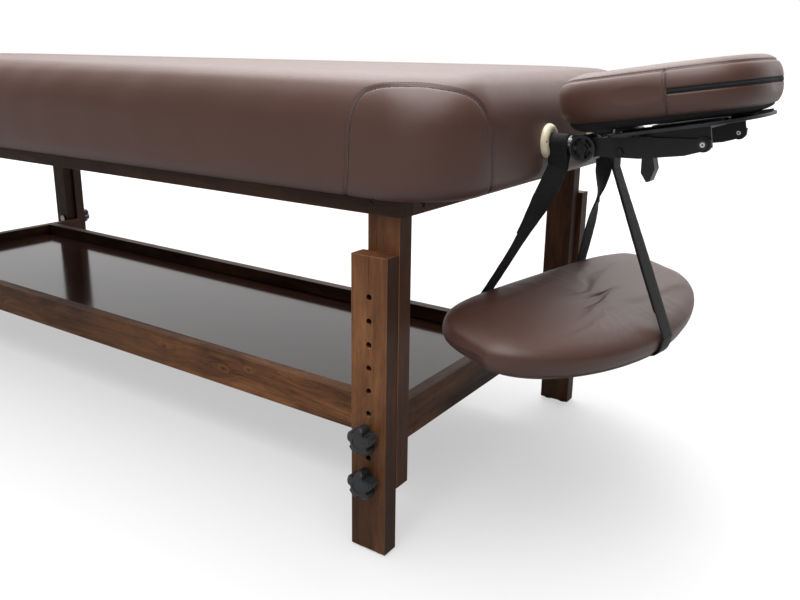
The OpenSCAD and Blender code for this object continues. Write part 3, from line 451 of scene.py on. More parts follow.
# %%
def brown_leather(tree):
    cell_size = {"Vector": place_of(tree), "Scale": 620.0, "Randomness": 0.9}
    cells = add(tree, "TexVoronoi", cell_size, "Distance", feature="DISTANCE_TO_EDGE")
    creases = add(tree, "MapRange", [cells, 0.0, 0.22, 0.0, 1.0])
    soft = mottle(tree, 140.0, 4.0, 0.6)
    half_soft = add(tree, "Math", [soft, 0.5], operation="MULTIPLY")
    skin = add(tree, "Math", [creases, 0.7, half_soft], operation="MULTIPLY_ADD")
    drift = add(tree, "ValToRGB", [mottle(tree, 6.0, 3.0)], stops=[(0.25, "#4a2f26"), (0.75, "#4f3329")])
    # painted shade: the skin's tiny creases are mixed toward a darker brown
    crease_shade = add(tree, "Math", [creases, -0.2, 0.2], operation="MULTIPLY_ADD")
    colours = {0: crease_shade, 6: drift, 7: paint("#33231e")}
    return {
        "Base Color": add(tree, "Mix", colours, 2, data_type="RGBA"),
        "Roughness": add(tree, "MapRange", [soft, 0, 1, 0.4, 0.5]),
        "Specular IOR Level": 0.5,
        "Sheen Weight": 0.1,
        "Sheen Roughness": 0.35,
        "Sheen Tint": paint("#d9c6c2"),
        "Normal": add(tree, "Bump", {"Height": skin, "Distance": 0.18 * MM, "Strength": 0.5}),
    }


def thread_of(hex_colour):
    """Twisted sewing thread of one colour."""

    def make(tree):
        size = {"Vector": place_of(tree), "Scale": 900.0, "Distortion": 1.0}
        twist = add(tree, "TexWave", size, "Fac", bands_direction="DIAGONAL")
        return {
            "Base Color": paint(hex_colour),
            "Roughness": 0.6,
            "Sheen Weight": 0.3,
            "Normal": add(tree, "Bump", {"Height": twist, "Distance": 0.1 * MM, "Strength": 0.6}),
        }

    return make


leather = finish("brown leather", brown_leather)
# the dark thread also colours the tubes that are painted shade in the seams
dark_thread_and_seam_shade = finish("dark thread and seam shadow", thread_of("#1d1311"))
grey_thread = finish("grey thread", thread_of("#2b2a2c"))
print("leather and thread ready")

# %% [markdown]
# ## Making meshes from rows of points
#
# Every soft piece here is a sheet of points in rows and columns. `grid_faces` joins such a grid
# into quads, and `end_caps` closes a tube of them. `stitches` lays short threads along a line on a
# surface, each one a small capsule that sinks a little into the leather. They are real meshes, not
# relief in the material, so that they catch the light one by one.


# %%
def unit(v):
    """Vectors of length 1."""
    return v / np.maximum(np.linalg.norm(v, axis=-1, keepdims=True), 1e-12)


def new_piece(name, points, faces, material, body=None, slot=None):
    """Smooth mesh that rides on a body. Its `slot` argument is not used."""
    mesh = bpy.data.meshes.new(name)
    mesh.from_pydata([tuple(map(float, p)) for p in points], [], faces)
    mesh.materials.append(material)
    mesh.polygons.foreach_set("use_smooth", [True] * len(mesh.polygons))
    mesh.update()
    piece = bpy.data.objects.new(name, mesh)
    bpy.context.scene.collection.objects.link(piece)
    if body:
        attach(piece, body)
    return piece


def grid_faces(rows, columns, loop_columns=False, start=0, flip=False):
    """Quads of a grid of points numbered row by row."""
    faces = []
    for r in range(rows - 1):
        for c in range(columns if loop_columns else columns - 1):
            a, b = start + r * columns + c, start + r * columns + (c + 1) % columns
            quad = (a, b, b + columns, a + columns)
            faces.append(quad[::-1] if flip else quad)
    return faces


def end_caps(rows, columns):
    """The first and the last row of a closed grid, each as one face."""
    return [tuple(range(columns))[::-1], tuple(range((rows - 1) * columns, rows * columns))]


def flowing(points, steps=12):
    """Smooth curve through the points (Catmull-Rom)."""
    p = np.array(points, float)
    p = np.vstack([2 * p[0] - p[1], p, 2 * p[-1] - p[-2]])
    out = []
    for a, b, c, d in zip(p, p[1:], p[2:], p[3:]):
        for t in np.arange(steps) / steps:
            curved, twisted = 2 * a - 5 * b + 4 * c - d, 3 * b - a - 3 * c + d
            out.append(0.5 * (2 * b + (c - a) * t + curved * t**2 + twisted * t**3))
    return np.array(out + [p[-2]])


def run_of(points):
    """Distance along a line of points."""
    return np.concatenate([[0], np.cumsum(np.linalg.norm(np.diff(points, axis=0), axis=1))])


def at_run(points, places):
    """Points of a line at given distances along it."""
    run = run_of(points)
    return np.stack([np.interp(places, run, points[:, k]) for k in range(points.shape[1])], axis=-1)


def even(points, spacing):
    """The same line, with points at an even spacing."""
    return at_run(points, np.arange(0, run_of(points)[-1], spacing))


def spot_on(grid, r, c):
    """Places on a grid at fractional row and column numbers."""
    r = np.clip(r, 0, grid.shape[0] - 1.001)
    c = np.clip(c, 0, grid.shape[1] - 1.001)
    i, j = r.astype(int), c.astype(int)
    a, b = (r - i)[..., None], (c - j)[..., None]
    low = grid[i, j] * (1 - a) + grid[i + 1, j] * a
    high = grid[i, j + 1] * (1 - a) + grid[i + 1, j + 1] * a
    return low * (1 - b) + high * b


def normals_of(grid, inside):
    """Normals of a grid of points that face away from a point inside."""
    n = unit(np.cross(np.gradient(grid, axis=0), np.gradient(grid, axis=1)))
    return n * np.sign(np.nansum(n * (grid - inside), axis=-1).mean() or 1)


def stitches(name, line, normals, material, pitch=4.6, length=3.4, width=0.7, **where):
    """Threads along a line; normals point out of the surface. Sizes are in millimetres. Each
    thread is five rings of six points, thick in the middle and sunk in at its ends."""
    places = np.arange(pitch / 2, run_of(line)[-1] / MM - pitch / 2, pitch) * MM
    here, ahead = at_run(line, places), at_run(line, places + pitch * MM / 4)
    run = run_of(line)
    out = unit(np.stack([np.interp(places, run, normals[:, k]) for k in range(3)], axis=-1))
    along = unit(ahead - here)
    across = np.cross(out, along)
    verts, faces = [], []
    for p, o, a, s in zip(here, out, along, across):
        first = len(verts)
        for u, fat in ((-0.5, 0.4), (-0.34, 0.95), (0.0, 1.1), (0.34, 0.95), (0.5, 0.4)):
            for k in range(6):
                turn = math.tau * k / 6
                lift = math.sin(turn) * fat + 0.25 - 1.8 * u * u
                verts.append(p + a * u * length * MM + width * MM / 2 * (s * math.cos(turn) * fat + o * lift))
        faces += grid_faces(5, 6, loop_columns=True, start=first)
        faces += [tuple(first + 5 - k for k in range(6)), tuple(first + 24 + k for k in range(6))]
    return new_piece(name, verts, faces, material, **where)


def tube(name, line, radius, material, sides=8, **where):
    """Thin round tube along a line, for seam shadows and coils."""
    along = unit(np.gradient(line, axis=0))
    side = unit(np.cross(along, (0.13, 0.31, 0.94)))
    lift = np.cross(side, along)
    turn = np.arange(sides) * math.tau / sides
    ring = side[:, None] * np.cos(turn)[:, None] + lift[:, None] * np.sin(turn)[:, None]
    verts = line[:, None] + radius * ring
    faces = grid_faces(len(line), sides, loop_columns=True) + end_caps(len(line), sides)
    return new_piece(name, verts.reshape(-1, 3), faces, material, **where)


def edge_distance(points, line):
    """Signed distance in a flat map from points to a line: positive on the line's right side."""
    best = np.full(len(points), 1e9)
    sign = np.ones(len(points))
    for a, b in zip(line[:-1], line[1:]):
        d = b - a
        t = np.clip(((points - a) @ d) / (d @ d), 0, 1)
        off = points - (a + t[:, None] * d)
        dist = np.hypot(off[:, 0], off[:, 1])
        closer = dist < best
        best[closer] = dist[closer]
        turn = d[0] * off[:, 1] - d[1] * off[:, 0]
        sign[closer] = np.where(turn[closer] > 0, -1.0, 1.0)
    return best * sign


def groove(distance, depth, width):
    """A rounded furrow, in millimetres, at a distance of 0."""
    return -depth * MM * np.exp(-((distance / (width * MM)) ** 2))


print("mesh helpers ready")

# %% [markdown]
# ## The padded top
#
# One quarter of the cover is drawn as a map: `s` runs round the outline, from the middle of the
# long side (negative) over the corner to the middle of the end (positive), and `w` runs up the
# side, over the edge and on to the crown. Mirroring the quarter three times gives the whole
# cover. The sewn corner patch is a line in the same map, taken from the photograph: leather is
# drawn in along it, puckers a little at each stitch, and stands proud inside it.

# %%
pad_low, pad_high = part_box("pad")
PAD_BASE = np.array(((pad_low.x + pad_high.x) / 2, (pad_low.y + pad_high.y) / 2, pad_low.z))
HALF_L = (pad_high.x - pad_low.x) / 2
HALF_W = (pad_high.y - pad_low.y) / 2
PAD_H = pad_high.z - pad_low.z
CORNER, EDGE_ROLL, SIDE_TUCK, END_TUCK = 0.095, 0.046, 0.010, 0.0208
# the cut through the side, as (share of the height, share of the tuck, roll or width)
LOW = [(0, 1), (0.02, 0.66), (0.05, 0.36), (0.1, 0.13), (0.17, 0.03), (0.3, 0), (0.5, 0.01)]
ROLL = [(0.6, 0.02), (0.68, 0.07), (0.76, 0.16), (0.83, 0.29), (0.89, 0.46), (0.935, 0.69), (0.965, 0.96)]
CROWN = [(0.978, 0.09), (0.991, 0.16), (0.998, 0.28), (1, 0.41)]
ARC = CORNER * math.pi / 4


def profile(tuck):
    """Inset and height of the cover, from its lower edge to the crown."""
    rows = [(tuck * b, PAD_H * a) for a, b in LOW]
    rows += [(EDGE_ROLL * b, PAD_H * a) for a, b in ROLL]
    rows += [(2 * HALF_W * b, PAD_H * a) for a, b in CROWN]
    return flowing(rows, 24)


side_profile, end_profile = profile(SIDE_TUCK), profile(END_TUCK)
side_run, end_run = run_of(side_profile), run_of(end_profile)


def quarter(s, w):
    """Place on the head and far quarter of the cover. Below w = 0 it turns under as a hem."""
    share = np.clip((s + ARC) / (2 * ARC), 0, 1)
    up = np.maximum(w, 0)
    inset, height = (
        np.interp(up, side_run, side_profile[:, k]) * (1 - share)
        + np.interp(up, end_run, end_profile[:, k]) * share
        for k in (0, 1)
    )
    inset = inset + np.maximum(-w, 0)
    hx, hy = HALF_L - inset, np.maximum(HALF_W - inset, 0.001)
    r = CORNER * hy / HALF_W
    along = np.clip((s + ARC) / (HALF_L - CORNER), -1, 0)
    across = np.clip((s - ARC) / (HALF_W - CORNER), 0, 1)
    angle = math.pi / 2 * (1 - share)
    x = (hx - r) * (1 + along) + r * np.cos(angle)
    y = (hy - r) * (1 - across) + r * np.sin(angle)
    return np.stack([x, y, height], axis=-1)


# the patch's seam in the map, in millimetres: up on the long side, over, and down on the end
PATCH = np.array([
    (-128, -3), (-127.5, 12), (-125.5, 42), (-123.2, 86), (-116.3, 109), (-106, 125.5),
    (-90, 135), (-57, 142.3), (-22, 145.3), (1, 142.7), (26.6, 137.2), (44, 129.2),
    (54.2, 119.2), (61.3, 106.6), (65.8, 95.4), (71.5, 62), (76.4, 28), (80.5, 12), (84, -3),
]) * MM
patch_line = even(flowing(PATCH, 10), 1.2 * MM)
fine = 1.6
print("patch seam points:", len(patch_line))

# %%
# the map's rows lie close together where the patch is
s_rows = np.concatenate([
    -np.linspace(HALF_L - CORNER + ARC, 0.165, 46)[:-1],
    np.linspace(-0.165, 0.120, int(110 * fine)),
    np.linspace(0.120, HALF_W - CORNER + ARC, 18)[1:],
])
w_rows = np.concatenate([
    [-0.020, -0.014, -0.008, -0.003], np.linspace(0, 0.150, int(60 * fine)),
    np.linspace(0.150, 0.210, 14)[1:], np.linspace(0.210, side_run[-1], 14)[1:],
])
S, W = np.meshgrid(s_rows, w_rows, indexing="ij")
off = edge_distance(np.stack([S.ravel(), W.ravel()], axis=-1), patch_line).reshape(S.shape)
near_seam = np.exp(-np.abs(off) / (6 * MM))
# the seam draws the leather in, the patch stands proud inside it, and it puckers at the stitches
rise = groove(off, 1.7, 1.7) - 0.9 * MM * np.exp(-np.abs(off) / (9 * MM))
rise += 0.4 * MM * (off > 0) * (1 - np.exp(-np.abs(off) / (2 * MM)))
rise += 0.14 * MM * np.sin((S * 0.9 + W * 1.1) / MM * 1.35) * near_seam * (np.abs(off) > 1.5 * MM)
# slow waves, where the foam is not quite even
waves = np.sin(S * 23 + 1.1 * np.sin(W * 31)) + 0.6 * np.sin(S * 61 + 2.3 * np.sin(W * 24))
rise += 0.6 * MM * waves * np.clip(W / 0.05, 0, 1) * np.clip((0.19 - W) / 0.05, 0, 1)

quarter_grid = quarter(S, W)
quarter_normal = normals_of(quarter_grid, (0, 0, PAD_H * 0.4))
quarter_grid = quarter_grid + quarter_normal * rise[..., None]
CORNERS = {"head_far": (1, 1), "foot_far": (-1, 1), "foot_near": (-1, -1), "head_near": (1, -1)}
verts, faces = [], []
for mx, my in CORNERS.values():
    faces += grid_faces(len(s_rows), len(w_rows), start=len(verts), flip=mx * my > 0)
    verts += (quarter_grid * (mx, my, 1) + PAD_BASE).reshape(-1, 3).tolist()
cover = new_piece("pad_cover", verts, faces, leather)
skin = bmesh.new()
skin.from_mesh(cover.data)
bmesh.ops.remove_doubles(skin, verts=skin.verts, dist=0.05 * MM)
open_edges = [e for e in skin.edges if e.is_boundary and e.verts[0].co.z > pad_high.z - 0.01]
bmesh.ops.holes_fill(skin, edges=open_edges)
for face in skin.faces:
    face.smooth = True
skin.to_mesh(cover.data)
skin.free()
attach(cover, "table")
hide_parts("pad")
print("cover points:", len(cover.data.vertices))

# %%
def on_quarter(line, mirror, lift):
    """A line of the map on one corner, raised off the surface, and its normals."""
    r = np.interp(line[:, 0], s_rows, range(len(s_rows)))
    c = np.interp(line[:, 1], w_rows, range(len(w_rows)))
    n = unit(spot_on(quarter_normal, r, c))
    return (spot_on(quarter_grid, r, c) + n * lift * MM) * mirror + PAD_BASE, n * mirror


inside = patch_line[patch_line[:, 1] > 0.5 * MM]
turn = unit(np.gradient(inside, axis=0))
outward = np.stack([-turn[:, 1], turn[:, 0]], axis=-1)
for corner, (mx, my) in CORNERS.items():
    flip = np.array((mx, my, 1))
    sewn = {"body": "table", "slot": "brown_leather"}
    # the dark tube sunk in the seam is painted shade: it stands for the shadow in the seam's crease
    tube("patch_seam_shadow_" + corner, on_quarter(inside, flip, -0.2)[0], 0.8 * MM, dark_thread_and_seam_shade, **sewn)
    outer_row = on_quarter(inside + outward * 4.6 * MM, flip, 0.1)
    inner_row = on_quarter(inside - outward * 2.4 * MM, flip, 0.0)
    stitches("patch_stitches_" + corner, *outer_row, dark_thread_and_seam_shade, **sewn)
    stitches("patch_inner_stitches_" + corner, *inner_row, dark_thread_and_seam_shade, width=0.55, **sewn)
print("corner patches sewn:", len(CORNERS))

# %% [markdown]
# ## The tray board and the headrest plate
#
# The tray's board is lacquered, so it mirrors the room like dark water. It has a rebated edge: a
# thin tongue sits in the grooves of the rails, and the thick middle fills the frame between them.
# Varnish has an IOR near 1.5 and a roughness near 0.1. The headrest plate is moulded plastic with
# a rounded front that follows the cushion above it. Both are flat shapes with softened edges, so
# each is drawn as an outline and lifted.

# %%
def lacquer(tree):
    """Dark wood under clear varnish: a smooth coat over a faint grain."""
    streaks = mottle(tree, 1.0, 3.0, where=place_of(tree, (1.5, 70, 70)))
    swell = mottle(tree, 5.0, 2.0)
    return {
        "Base Color": add(tree, "ValToRGB", [streaks], stops=[(0.3, "#24140d"), (0.7, "#38211a")]),
        "Roughness": 0.5,
        "Specular IOR Level": 0.0,
        "Coat Weight": 0.9,
        "Coat Roughness": 0.11,
        "Normal": add(tree, "Bump", {"Height": swell, "Distance": 0.2 * MM, "Strength": 0.3}),
    }


def slab(name, rows, material, **where):
    """Flat board from rows of (outline, height), capped below and above."""
    count = len(rows[0][0])
    levels = [np.column_stack([outline, np.full(count, height)]) for outline, height in rows]
    verts = np.concatenate(levels)
    faces = grid_faces(len(rows), count, loop_columns=True) + end_caps(len(rows), count)
    board = new_piece(name, verts, faces, material, **where)
    board.data.polygons.foreach_set("use_smooth", [False] * len(board.data.polygons))
    return board


def shrunk(outline, inset):
    """Counter-clockwise outline moved inward."""
    along = unit(np.roll(outline, -1, 0) - np.roll(outline, 1, 0))
    return outline + np.stack([-along[:, 1], along[:, 0]], axis=-1) * inset


board_low, board_high = (np.array(corner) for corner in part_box("tray_panel"))
TONGUE, TRAY_TOP, SOFT = 10.2 * MM, 147.7 * MM, 0.6 * MM
middle, reach = (board_low + board_high)[:2] / 2, (board_high - board_low)[:2] / 2
square = np.array([(-1, -1), (1, -1), (1, 1), (-1, 1)])
tongue, block, rim = (middle + (reach - inset) * square for inset in (0, TONGUE, TONGUE + SOFT))
tray_rows = [
    (tongue, board_low[2]), (tongue, board_high[2]),
    (block, board_high[2]), (block, TRAY_TOP - SOFT), (rim, TRAY_TOP),
]
varnish = finish("lacquered tray board", lacquer)
tray_board = slab("tray_board", tray_rows, varnish, body="table", slot="stained_wood")
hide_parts("tray_panel")
print("tray board top at", TRAY_TOP)

# %%
# the plate in millimetres from the arm pins' axis, before it is tilted: its rear edge, where its
# rounded front begins and ends, half its width, its under and upper side, and the face opening
PLATE_TILT, PLATE_ROUND = math.radians(10.6), 2.4
PLATE = {
    "back": -107.5, "bend": -20, "front": 61, "half_w": 126,
    "low": 21.6, "high": 25.6, "mouth": 52.6, "mouth_r": 59, "softness": 0.5,
}
pin_low, pin_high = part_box("arm_pins")
turn = np.linspace(-math.pi / 2, math.pi / 2, 91)
front = np.stack([
    PLATE["bend"] + (PLATE["front"] - PLATE["bend"]) * np.abs(np.cos(turn)) ** (2 / PLATE_ROUND),
    PLATE["half_w"] * np.sign(np.sin(turn)) * np.abs(np.sin(turn)) ** (2 / PLATE_ROUND),
], axis=-1)
mouth = np.stack([
    PLATE["back"] + PLATE["mouth"] + PLATE["mouth_r"] * np.cos(turn[::-1]),
    PLATE["mouth_r"] * np.sin(turn[::-1]),
], axis=-1)
corner = np.array([(6, 0), (1.8, -1.8), (0, -6)]) + (PLATE["back"], PLATE["half_w"])
lip = np.array([(PLATE["back"], PLATE["mouth_r"])])
outline = np.concatenate([front, corner, lip, mouth, lip * (1, -1), (corner * (1, -1))[::-1]]) * MM
softened = shrunk(outline, PLATE["softness"] * MM)
plate_rows = [
    (softened, PLATE["low"] * MM), (outline, (PLATE["low"] + PLATE["softness"]) * MM),
    (outline, (PLATE["high"] - PLATE["softness"]) * MM), (softened, PLATE["high"] * MM),
]
plate = slab("platform_board", plate_rows, plastic, body="platform", slot="black_plastic")
pivot_x, pivot_z = (pin_low.x + pin_high.x) / 2, (pin_low.z + pin_high.z) / 2
c, s = math.cos(PLATE_TILT), math.sin(PLATE_TILT)
for point in plate.data.vertices:
    x, y, z = point.co
    point.co = (pivot_x + x * c - z * s, y, pivot_z + x * s + z * c)
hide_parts("platform_plate")
print("plate outline points:", len(outline))

# %% [markdown]
# ## The face cushion
#
# The cushion is a fat horseshoe. Each row of its grid is one cut through the ring, from the outer
# wall over the top and the face hole and back underneath, and the rows go round from one tip to
# the other. A short cloth simulation with inner pressure swells the panels between the seams,
# which are held still. After it the seams are pressed in, and the zip gets its slot.

# %%
CUSHION_PLACE = np.array((894.57, 0, 583.22)) * MM
CUSHION_SLOPE = math.radians(8.5)
# sizes in millimetres, and how square its outline and its cut are: 2 is round, 4 is boxy
CUSHION = {
    "half_l": 133.5, "half_w": 140, "hole_l": 73, "hole_w": 59, "height": 72,
    "power": 3.2, "roll": 2.7,
}
TIP = math.radians(180 - 21.65)
SEAM_TOP = math.radians(43)
ZIP_TOP, ZIP_LOW = 0.14, -0.09
# the ring gets thinner toward each tip: degrees from the tip, and share of the full thickness
TAPER = [(-4, 0.05), (-3.4, 0.28), (-2, 0.45), (0, 0.58), (10.56, 0.81), (21.1, 0.94), (31.7, 1)]
SIDE_SEAM = math.radians(76)


def leaning(points):
    """From the cushion's own flat frame to its sloped place."""
    x, y, z = np.moveaxis(np.asarray(points, float), -1, 0)
    c, s = math.cos(CUSHION_SLOPE), math.sin(CUSHION_SLOPE)
    return np.stack([x * c - z * s, y, x * s + z * c], axis=-1) + CUSHION_PLACE


def super_radius(a, hx, hy, power):
    """Radius at angle a of an oval that gets squarer with the power."""
    return ((np.abs(np.cos(a)) / hx) ** power + (np.abs(np.sin(a)) / hy) ** power) ** (-1 / power)


def signed_power(v, p):
    """Power that keeps the sign."""
    return np.sign(v) * np.abs(v) ** p


def ring_angle(v):
    """Angle in the cut at which the outer wall has height v, from -1 at the bottom to 1."""
    return np.arcsin(signed_power(np.asarray(v, float), CUSHION["roll"] / 2))


def cushion_point(a, b, swell):
    """Place at angle a round the ring and angle b in the cut, smaller all round by `swell`."""
    degrees, shares = np.transpose(TAPER)
    k = np.interp(TIP - np.abs(a), np.radians(degrees), shares)
    outer = super_radius(a, CUSHION["half_l"], CUSHION["half_w"], CUSHION["power"])
    inner = super_radius(a, CUSHION["hole_l"], CUSHION["hole_w"], 2)
    u, v = (signed_power(f(b), 2 / CUSHION["roll"]) for f in (np.cos, np.sin))
    r = (outer + inner) / 2 + ((outer - inner) / 2 * k - swell) * u
    z = CUSHION["height"] / 2 * (1 + v * k) - swell * v
    return np.stack([r * np.cos(a), r * np.sin(a), z], axis=-1) * MM


# rows of the cut, close together at the zip
wall_heights = [
    np.linspace(-0.82, ZIP_LOW, 15), np.linspace(ZIP_LOW, ZIP_TOP, 7)[1:],
    np.linspace(ZIP_TOP, 0.74, 14)[1:],
]
wall = ring_angle(np.concatenate(wall_heights))
top = np.linspace(SEAM_TOP, math.pi - SEAM_TOP, 44)[1:]
hole = np.pi - wall[::-2][1:]
under = np.linspace(math.pi - wall[0], math.tau + wall[0], 30)[1:-1]
cut = np.concatenate([wall, top, hole, under])
# the cuts themselves, from tip to tip, close together at the tips and at the side seams
BESIDE, BEYOND = 0.05, math.radians(4)
stations = [
    (-TIP - BEYOND, 7), (-TIP, 58), (-SIDE_SEAM - BESIDE, 15), (-SIDE_SEAM + BESIDE, 110),
    (SIDE_SEAM - BESIDE, 15), (SIDE_SEAM + BESIDE, 58), (TIP, 7), (TIP + BEYOND, 0),
]
around = np.concatenate(
    [np.linspace(a, b, count)[:-1] for (a, count), (b, _) in zip(stations, stations[1:])]
    + [[TIP + BEYOND]]
)
A, B = np.meshgrid(around, cut, indexing="ij")
print("cuts round the ring:", len(around), "points in each:", len(cut))


# %%
def nearest(values, target):
    """Number of the value that lies nearest to a target."""
    return int(np.argmin(np.abs(np.asarray(values) - target)))


def puff(points, faces, pinned, pressure, cap):
    """Cloth simulation of a closed skin with air inside. Pinned points stay, the rest may move by
    up to `cap` millimetres. Gives the new points, in the same order."""
    flat = points.reshape(-1, 3)
    mesh = bpy.data.meshes.new("puffing")
    mesh.from_pydata(flat.tolist(), [], faces)
    body = bpy.data.objects.new("puffing", mesh)
    bpy.context.scene.collection.objects.link(body)
    held = body.vertex_groups.new(name="held")
    held.add([int(i) for i in pinned], 1.0, "REPLACE")
    cloth = body.modifiers.new("cloth", "CLOTH")
    settings = {
        "quality": 5, "mass": 0.3, "tension_stiffness": 60, "compression_stiffness": 60,
        "shear_stiffness": 20, "bending_stiffness": 2.0, "use_pressure": True,
        "uniform_pressure_force": pressure, "vertex_group_mass": "held",
    }
    for key, value in settings.items():
        setattr(cloth.settings, key, value)
    cloth.settings.effector_weights.gravity = 0
    cloth.point_cache.frame_start, cloth.point_cache.frame_end = 1, PUFF_FRAMES
    scene = bpy.context.scene
    for frame_number in range(1, PUFF_FRAMES + 1):
        scene.frame_set(frame_number)
    swollen = body.evaluated_get(bpy.context.evaluated_depsgraph_get()).data
    moved = np.array([v.co for v in swollen.vertices]) - flat
    bpy.data.objects.remove(body)
    scene.frame_set(1)
    far = np.linalg.norm(moved, axis=1, keepdims=True)
    return (flat + moved * np.minimum(1, cap * MM / np.maximum(far, 1e-9))).reshape(points.shape)


PUFF_FRAMES = 20
print("cloth simulation:", "ready")

# %%
# the four seams, the two side seams and both tips stay while the ring is puffed up
rows, columns = A.shape
flat_cushion = cushion_point(A, B, 1.2)
cushion_faces = grid_faces(rows, columns, loop_columns=True)
cushion_faces += end_caps(rows, columns)
seam_columns = [nearest(cut, c) for c in (SEAM_TOP, math.pi - SEAM_TOP, wall[0], math.pi - wall[0])]
side_rows = [nearest(around, -SIDE_SEAM), nearest(around, SIDE_SEAM)]
pinned = [r * columns + c for r in range(rows) for c in seam_columns]
pinned += [r * columns + c for r in side_rows for c in range(len(wall))]
pinned += [r * columns + c for r in (0, 1, rows - 2, rows - 1) for c in range(columns)]
cushion_grid = puff(flat_cushion, cushion_faces, sorted(set(pinned)), 2.5, 3.0)
round_cut = np.roll(cushion_grid, -1, 1) - np.roll(cushion_grid, 1, 1)
cushion_normal = unit(np.cross(np.gradient(cushion_grid, axis=0), round_cut))
cushion_normal *= np.sign((cushion_normal[rows // 2, len(wall) // 2] * (1, 0, 0)).sum())
print("cushion puffed, points:", rows * columns)

# %%
# the seams are pressed in and pucker, and the zip's slot is sunk
along_run = run_of(cushion_grid[:, 0])
section = np.linalg.norm(np.roll(cushion_grid, -1, 1) - cushion_grid, axis=-1)
cut_run = np.concatenate([np.zeros((rows, 1)), np.cumsum(section, axis=1)[:, :-1]], axis=1)
press = np.zeros((rows, columns))
for c in seam_columns:
    gap = np.abs(cut_run - cut_run[:, c : c + 1])
    gap = np.minimum(gap, section.sum(1, keepdims=True) - gap)
    press += groove(gap, 1.3, 1.5) - 0.5 * MM * np.exp(-gap / (7 * MM))
    press += 0.12 * MM * np.sin(along_run[:, None] / MM * 1.37) * np.exp(-gap / (5 * MM))
on_wall = np.zeros(columns)
on_wall[: len(wall)] = 1
for r in side_rows:
    gap = np.abs(along_run - along_run[r])[:, None] * 1.15
    press += (groove(gap, 1.2, 1.4) - 0.4 * MM * np.exp(-gap / (6 * MM))) * on_wall
zip_half = nearest(cut, ring_angle(ZIP_TOP)), nearest(cut, ring_angle(ZIP_LOW))
in_zip = np.zeros((rows, columns))
in_zip[side_rows[0] + 2 : side_rows[1] - 1, zip_half[1] + 1 : zip_half[0]] = 1
press -= 2.0 * MM * in_zip
cushion_grid = cushion_grid + cushion_normal * press[..., None]
# the black fabric below hangs down toward the platform, most at the open end
beneath = np.zeros(columns)
beneath[-len(under):] = np.sin(np.linspace(0, math.pi, len(under) + 2)[1:-1]) ** 0.5
hang = np.clip(4.0 - 0.03 * cushion_grid[..., 0] / MM, 0.5, 7.0) * MM
cushion_grid[..., 2] -= hang * beneath
cushion_points = leaning(cushion_grid).reshape(-1, 3)
sewn = {"body": "platform", "slot": "brown_leather"}
cushion = new_piece("face_cushion_cover", cushion_points, cushion_faces, leather, **sewn)
cushion.data.materials.append(loop_cloth)
for face in cushion.data.polygons:
    if all((v % columns == 0 or v % columns >= columns - len(under) - 1) for v in face.vertices):
        face.material_index = 1
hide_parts("face_cushion")
print("seams pressed in:", len(seam_columns) + len(side_rows))


# %%
def on_cushion(r, c, lift):
    """Line on the cushion at row and column numbers, raised in millimetres, with its normals."""
    r, c = np.broadcast_arrays(np.asarray(r, float), np.asarray(c, float))
    n = unit(spot_on(cushion_normal, r, c))
    return leaning(spot_on(cushion_grid, r, c) + n * lift * MM), leaning(n) - CUSHION_PLACE


every_row = np.arange(6, rows - 6, 0.5)
outer_seam, inner_seam, outer_low, inner_low = seam_columns
for name, c in (("top", outer_seam + 1.7), ("hole", inner_seam - 1.7), ("low", outer_low + 1.6)):
    line = on_cushion(every_row, c, 0.05)
    stitches("cushion_" + name + "_stitches", *line, dark_thread_and_seam_shade, width=0.6, **sewn)
# dark tubes sunk in the seams are painted shade: they stand for the shadows in the seams' creases
seams = {"top": outer_seam, "hole": inner_seam, "low": outer_low, "hole_low": inner_low}
for name, c in seams.items():
    line = on_cushion(np.arange(0, rows - 1, 0.7), c, -0.3)[0]
    tube("cushion_seam_shadow_" + name, line, 0.45 * MM, dark_thread_and_seam_shade, **sewn)
up_wall = np.arange(0.6, len(wall) - 1.2, 0.5)
for side, r in (("near", side_rows[0]), ("far", side_rows[1])):
    # the dark tube in each side seam is painted shade for the seam's crease
    line = on_cushion(r, up_wall, -0.3)[0]
    tube("cushion_side_seam_shadow_" + side, line, 0.45 * MM, dark_thread_and_seam_shade, **sewn)
    for k in (-1, 1):
        line = on_cushion(r + 2.6 * k, up_wall, 0.05)
        name = "cushion_side_stitches_%s_%d" % (side, k + 1)
        stitches(name, *line, dark_thread_and_seam_shade, pitch=4.0, width=0.6, **sewn)
print("cushion sewn")

# %%
# the zip: woven tape in the slot, and a coil of 1.5 mm turns down its middle
zip_rows = np.arange(side_rows[0] + 2.0, side_rows[1] - 1.5, 0.5)
zip_top, zip_low = zip_half
zip_middle = (zip_top + zip_low) / 2
tape_at = ((zip_low + 0.6, 0.9), (zip_middle, 1.2), (zip_top - 0.6, 0.9))
tape = np.stack([on_cushion(zip_rows, c, lift)[0] for c, lift in tape_at], axis=1)
tape_faces = grid_faces(len(zip_rows), len(tape_at), flip=True)
new_piece("zip_tape", tape.reshape(-1, 3), tape_faces, zip_cloth, "platform", "webbing")
middle, out = on_cushion(zip_rows, zip_middle, 1.7)
dense = np.arange(0, run_of(middle)[-1], 0.22 * MM)
line = at_run(middle, dense)
outward = at_run(out, dense / run_of(middle)[-1] * run_of(out)[-1])
up = unit(np.cross(np.gradient(line, axis=0), outward))
coil = line + up * (1.3 * MM * np.sin(dense / MM * math.tau / 1.5))[:, None]
tube("zip_coil", coil, 0.33 * MM, plastic, sides=5, body="platform", slot="black_plastic")
print("zip length in millimetres:", round(run_of(middle)[-1] / MM))

# %% [markdown]
# ## The hanging armrest
#
# The pad is a half moon of foam on a board. Its cover is drawn tight over the rim and stapled
# below. It hangs from three ribbed straps. Each strap goes round its bar as a loop, comes back on
# itself, is sewn, and the single layer that is left runs under the pad.

# %%
REST_PLACE = np.array((812.835, -6.5, 301.8)) * MM
REST_SLOPE, REST_SKEW = math.radians(12.6), math.radians(-10)
REST_DEPTH, REST_LENGTH, REST_H = 0.224, 0.520, 0.051


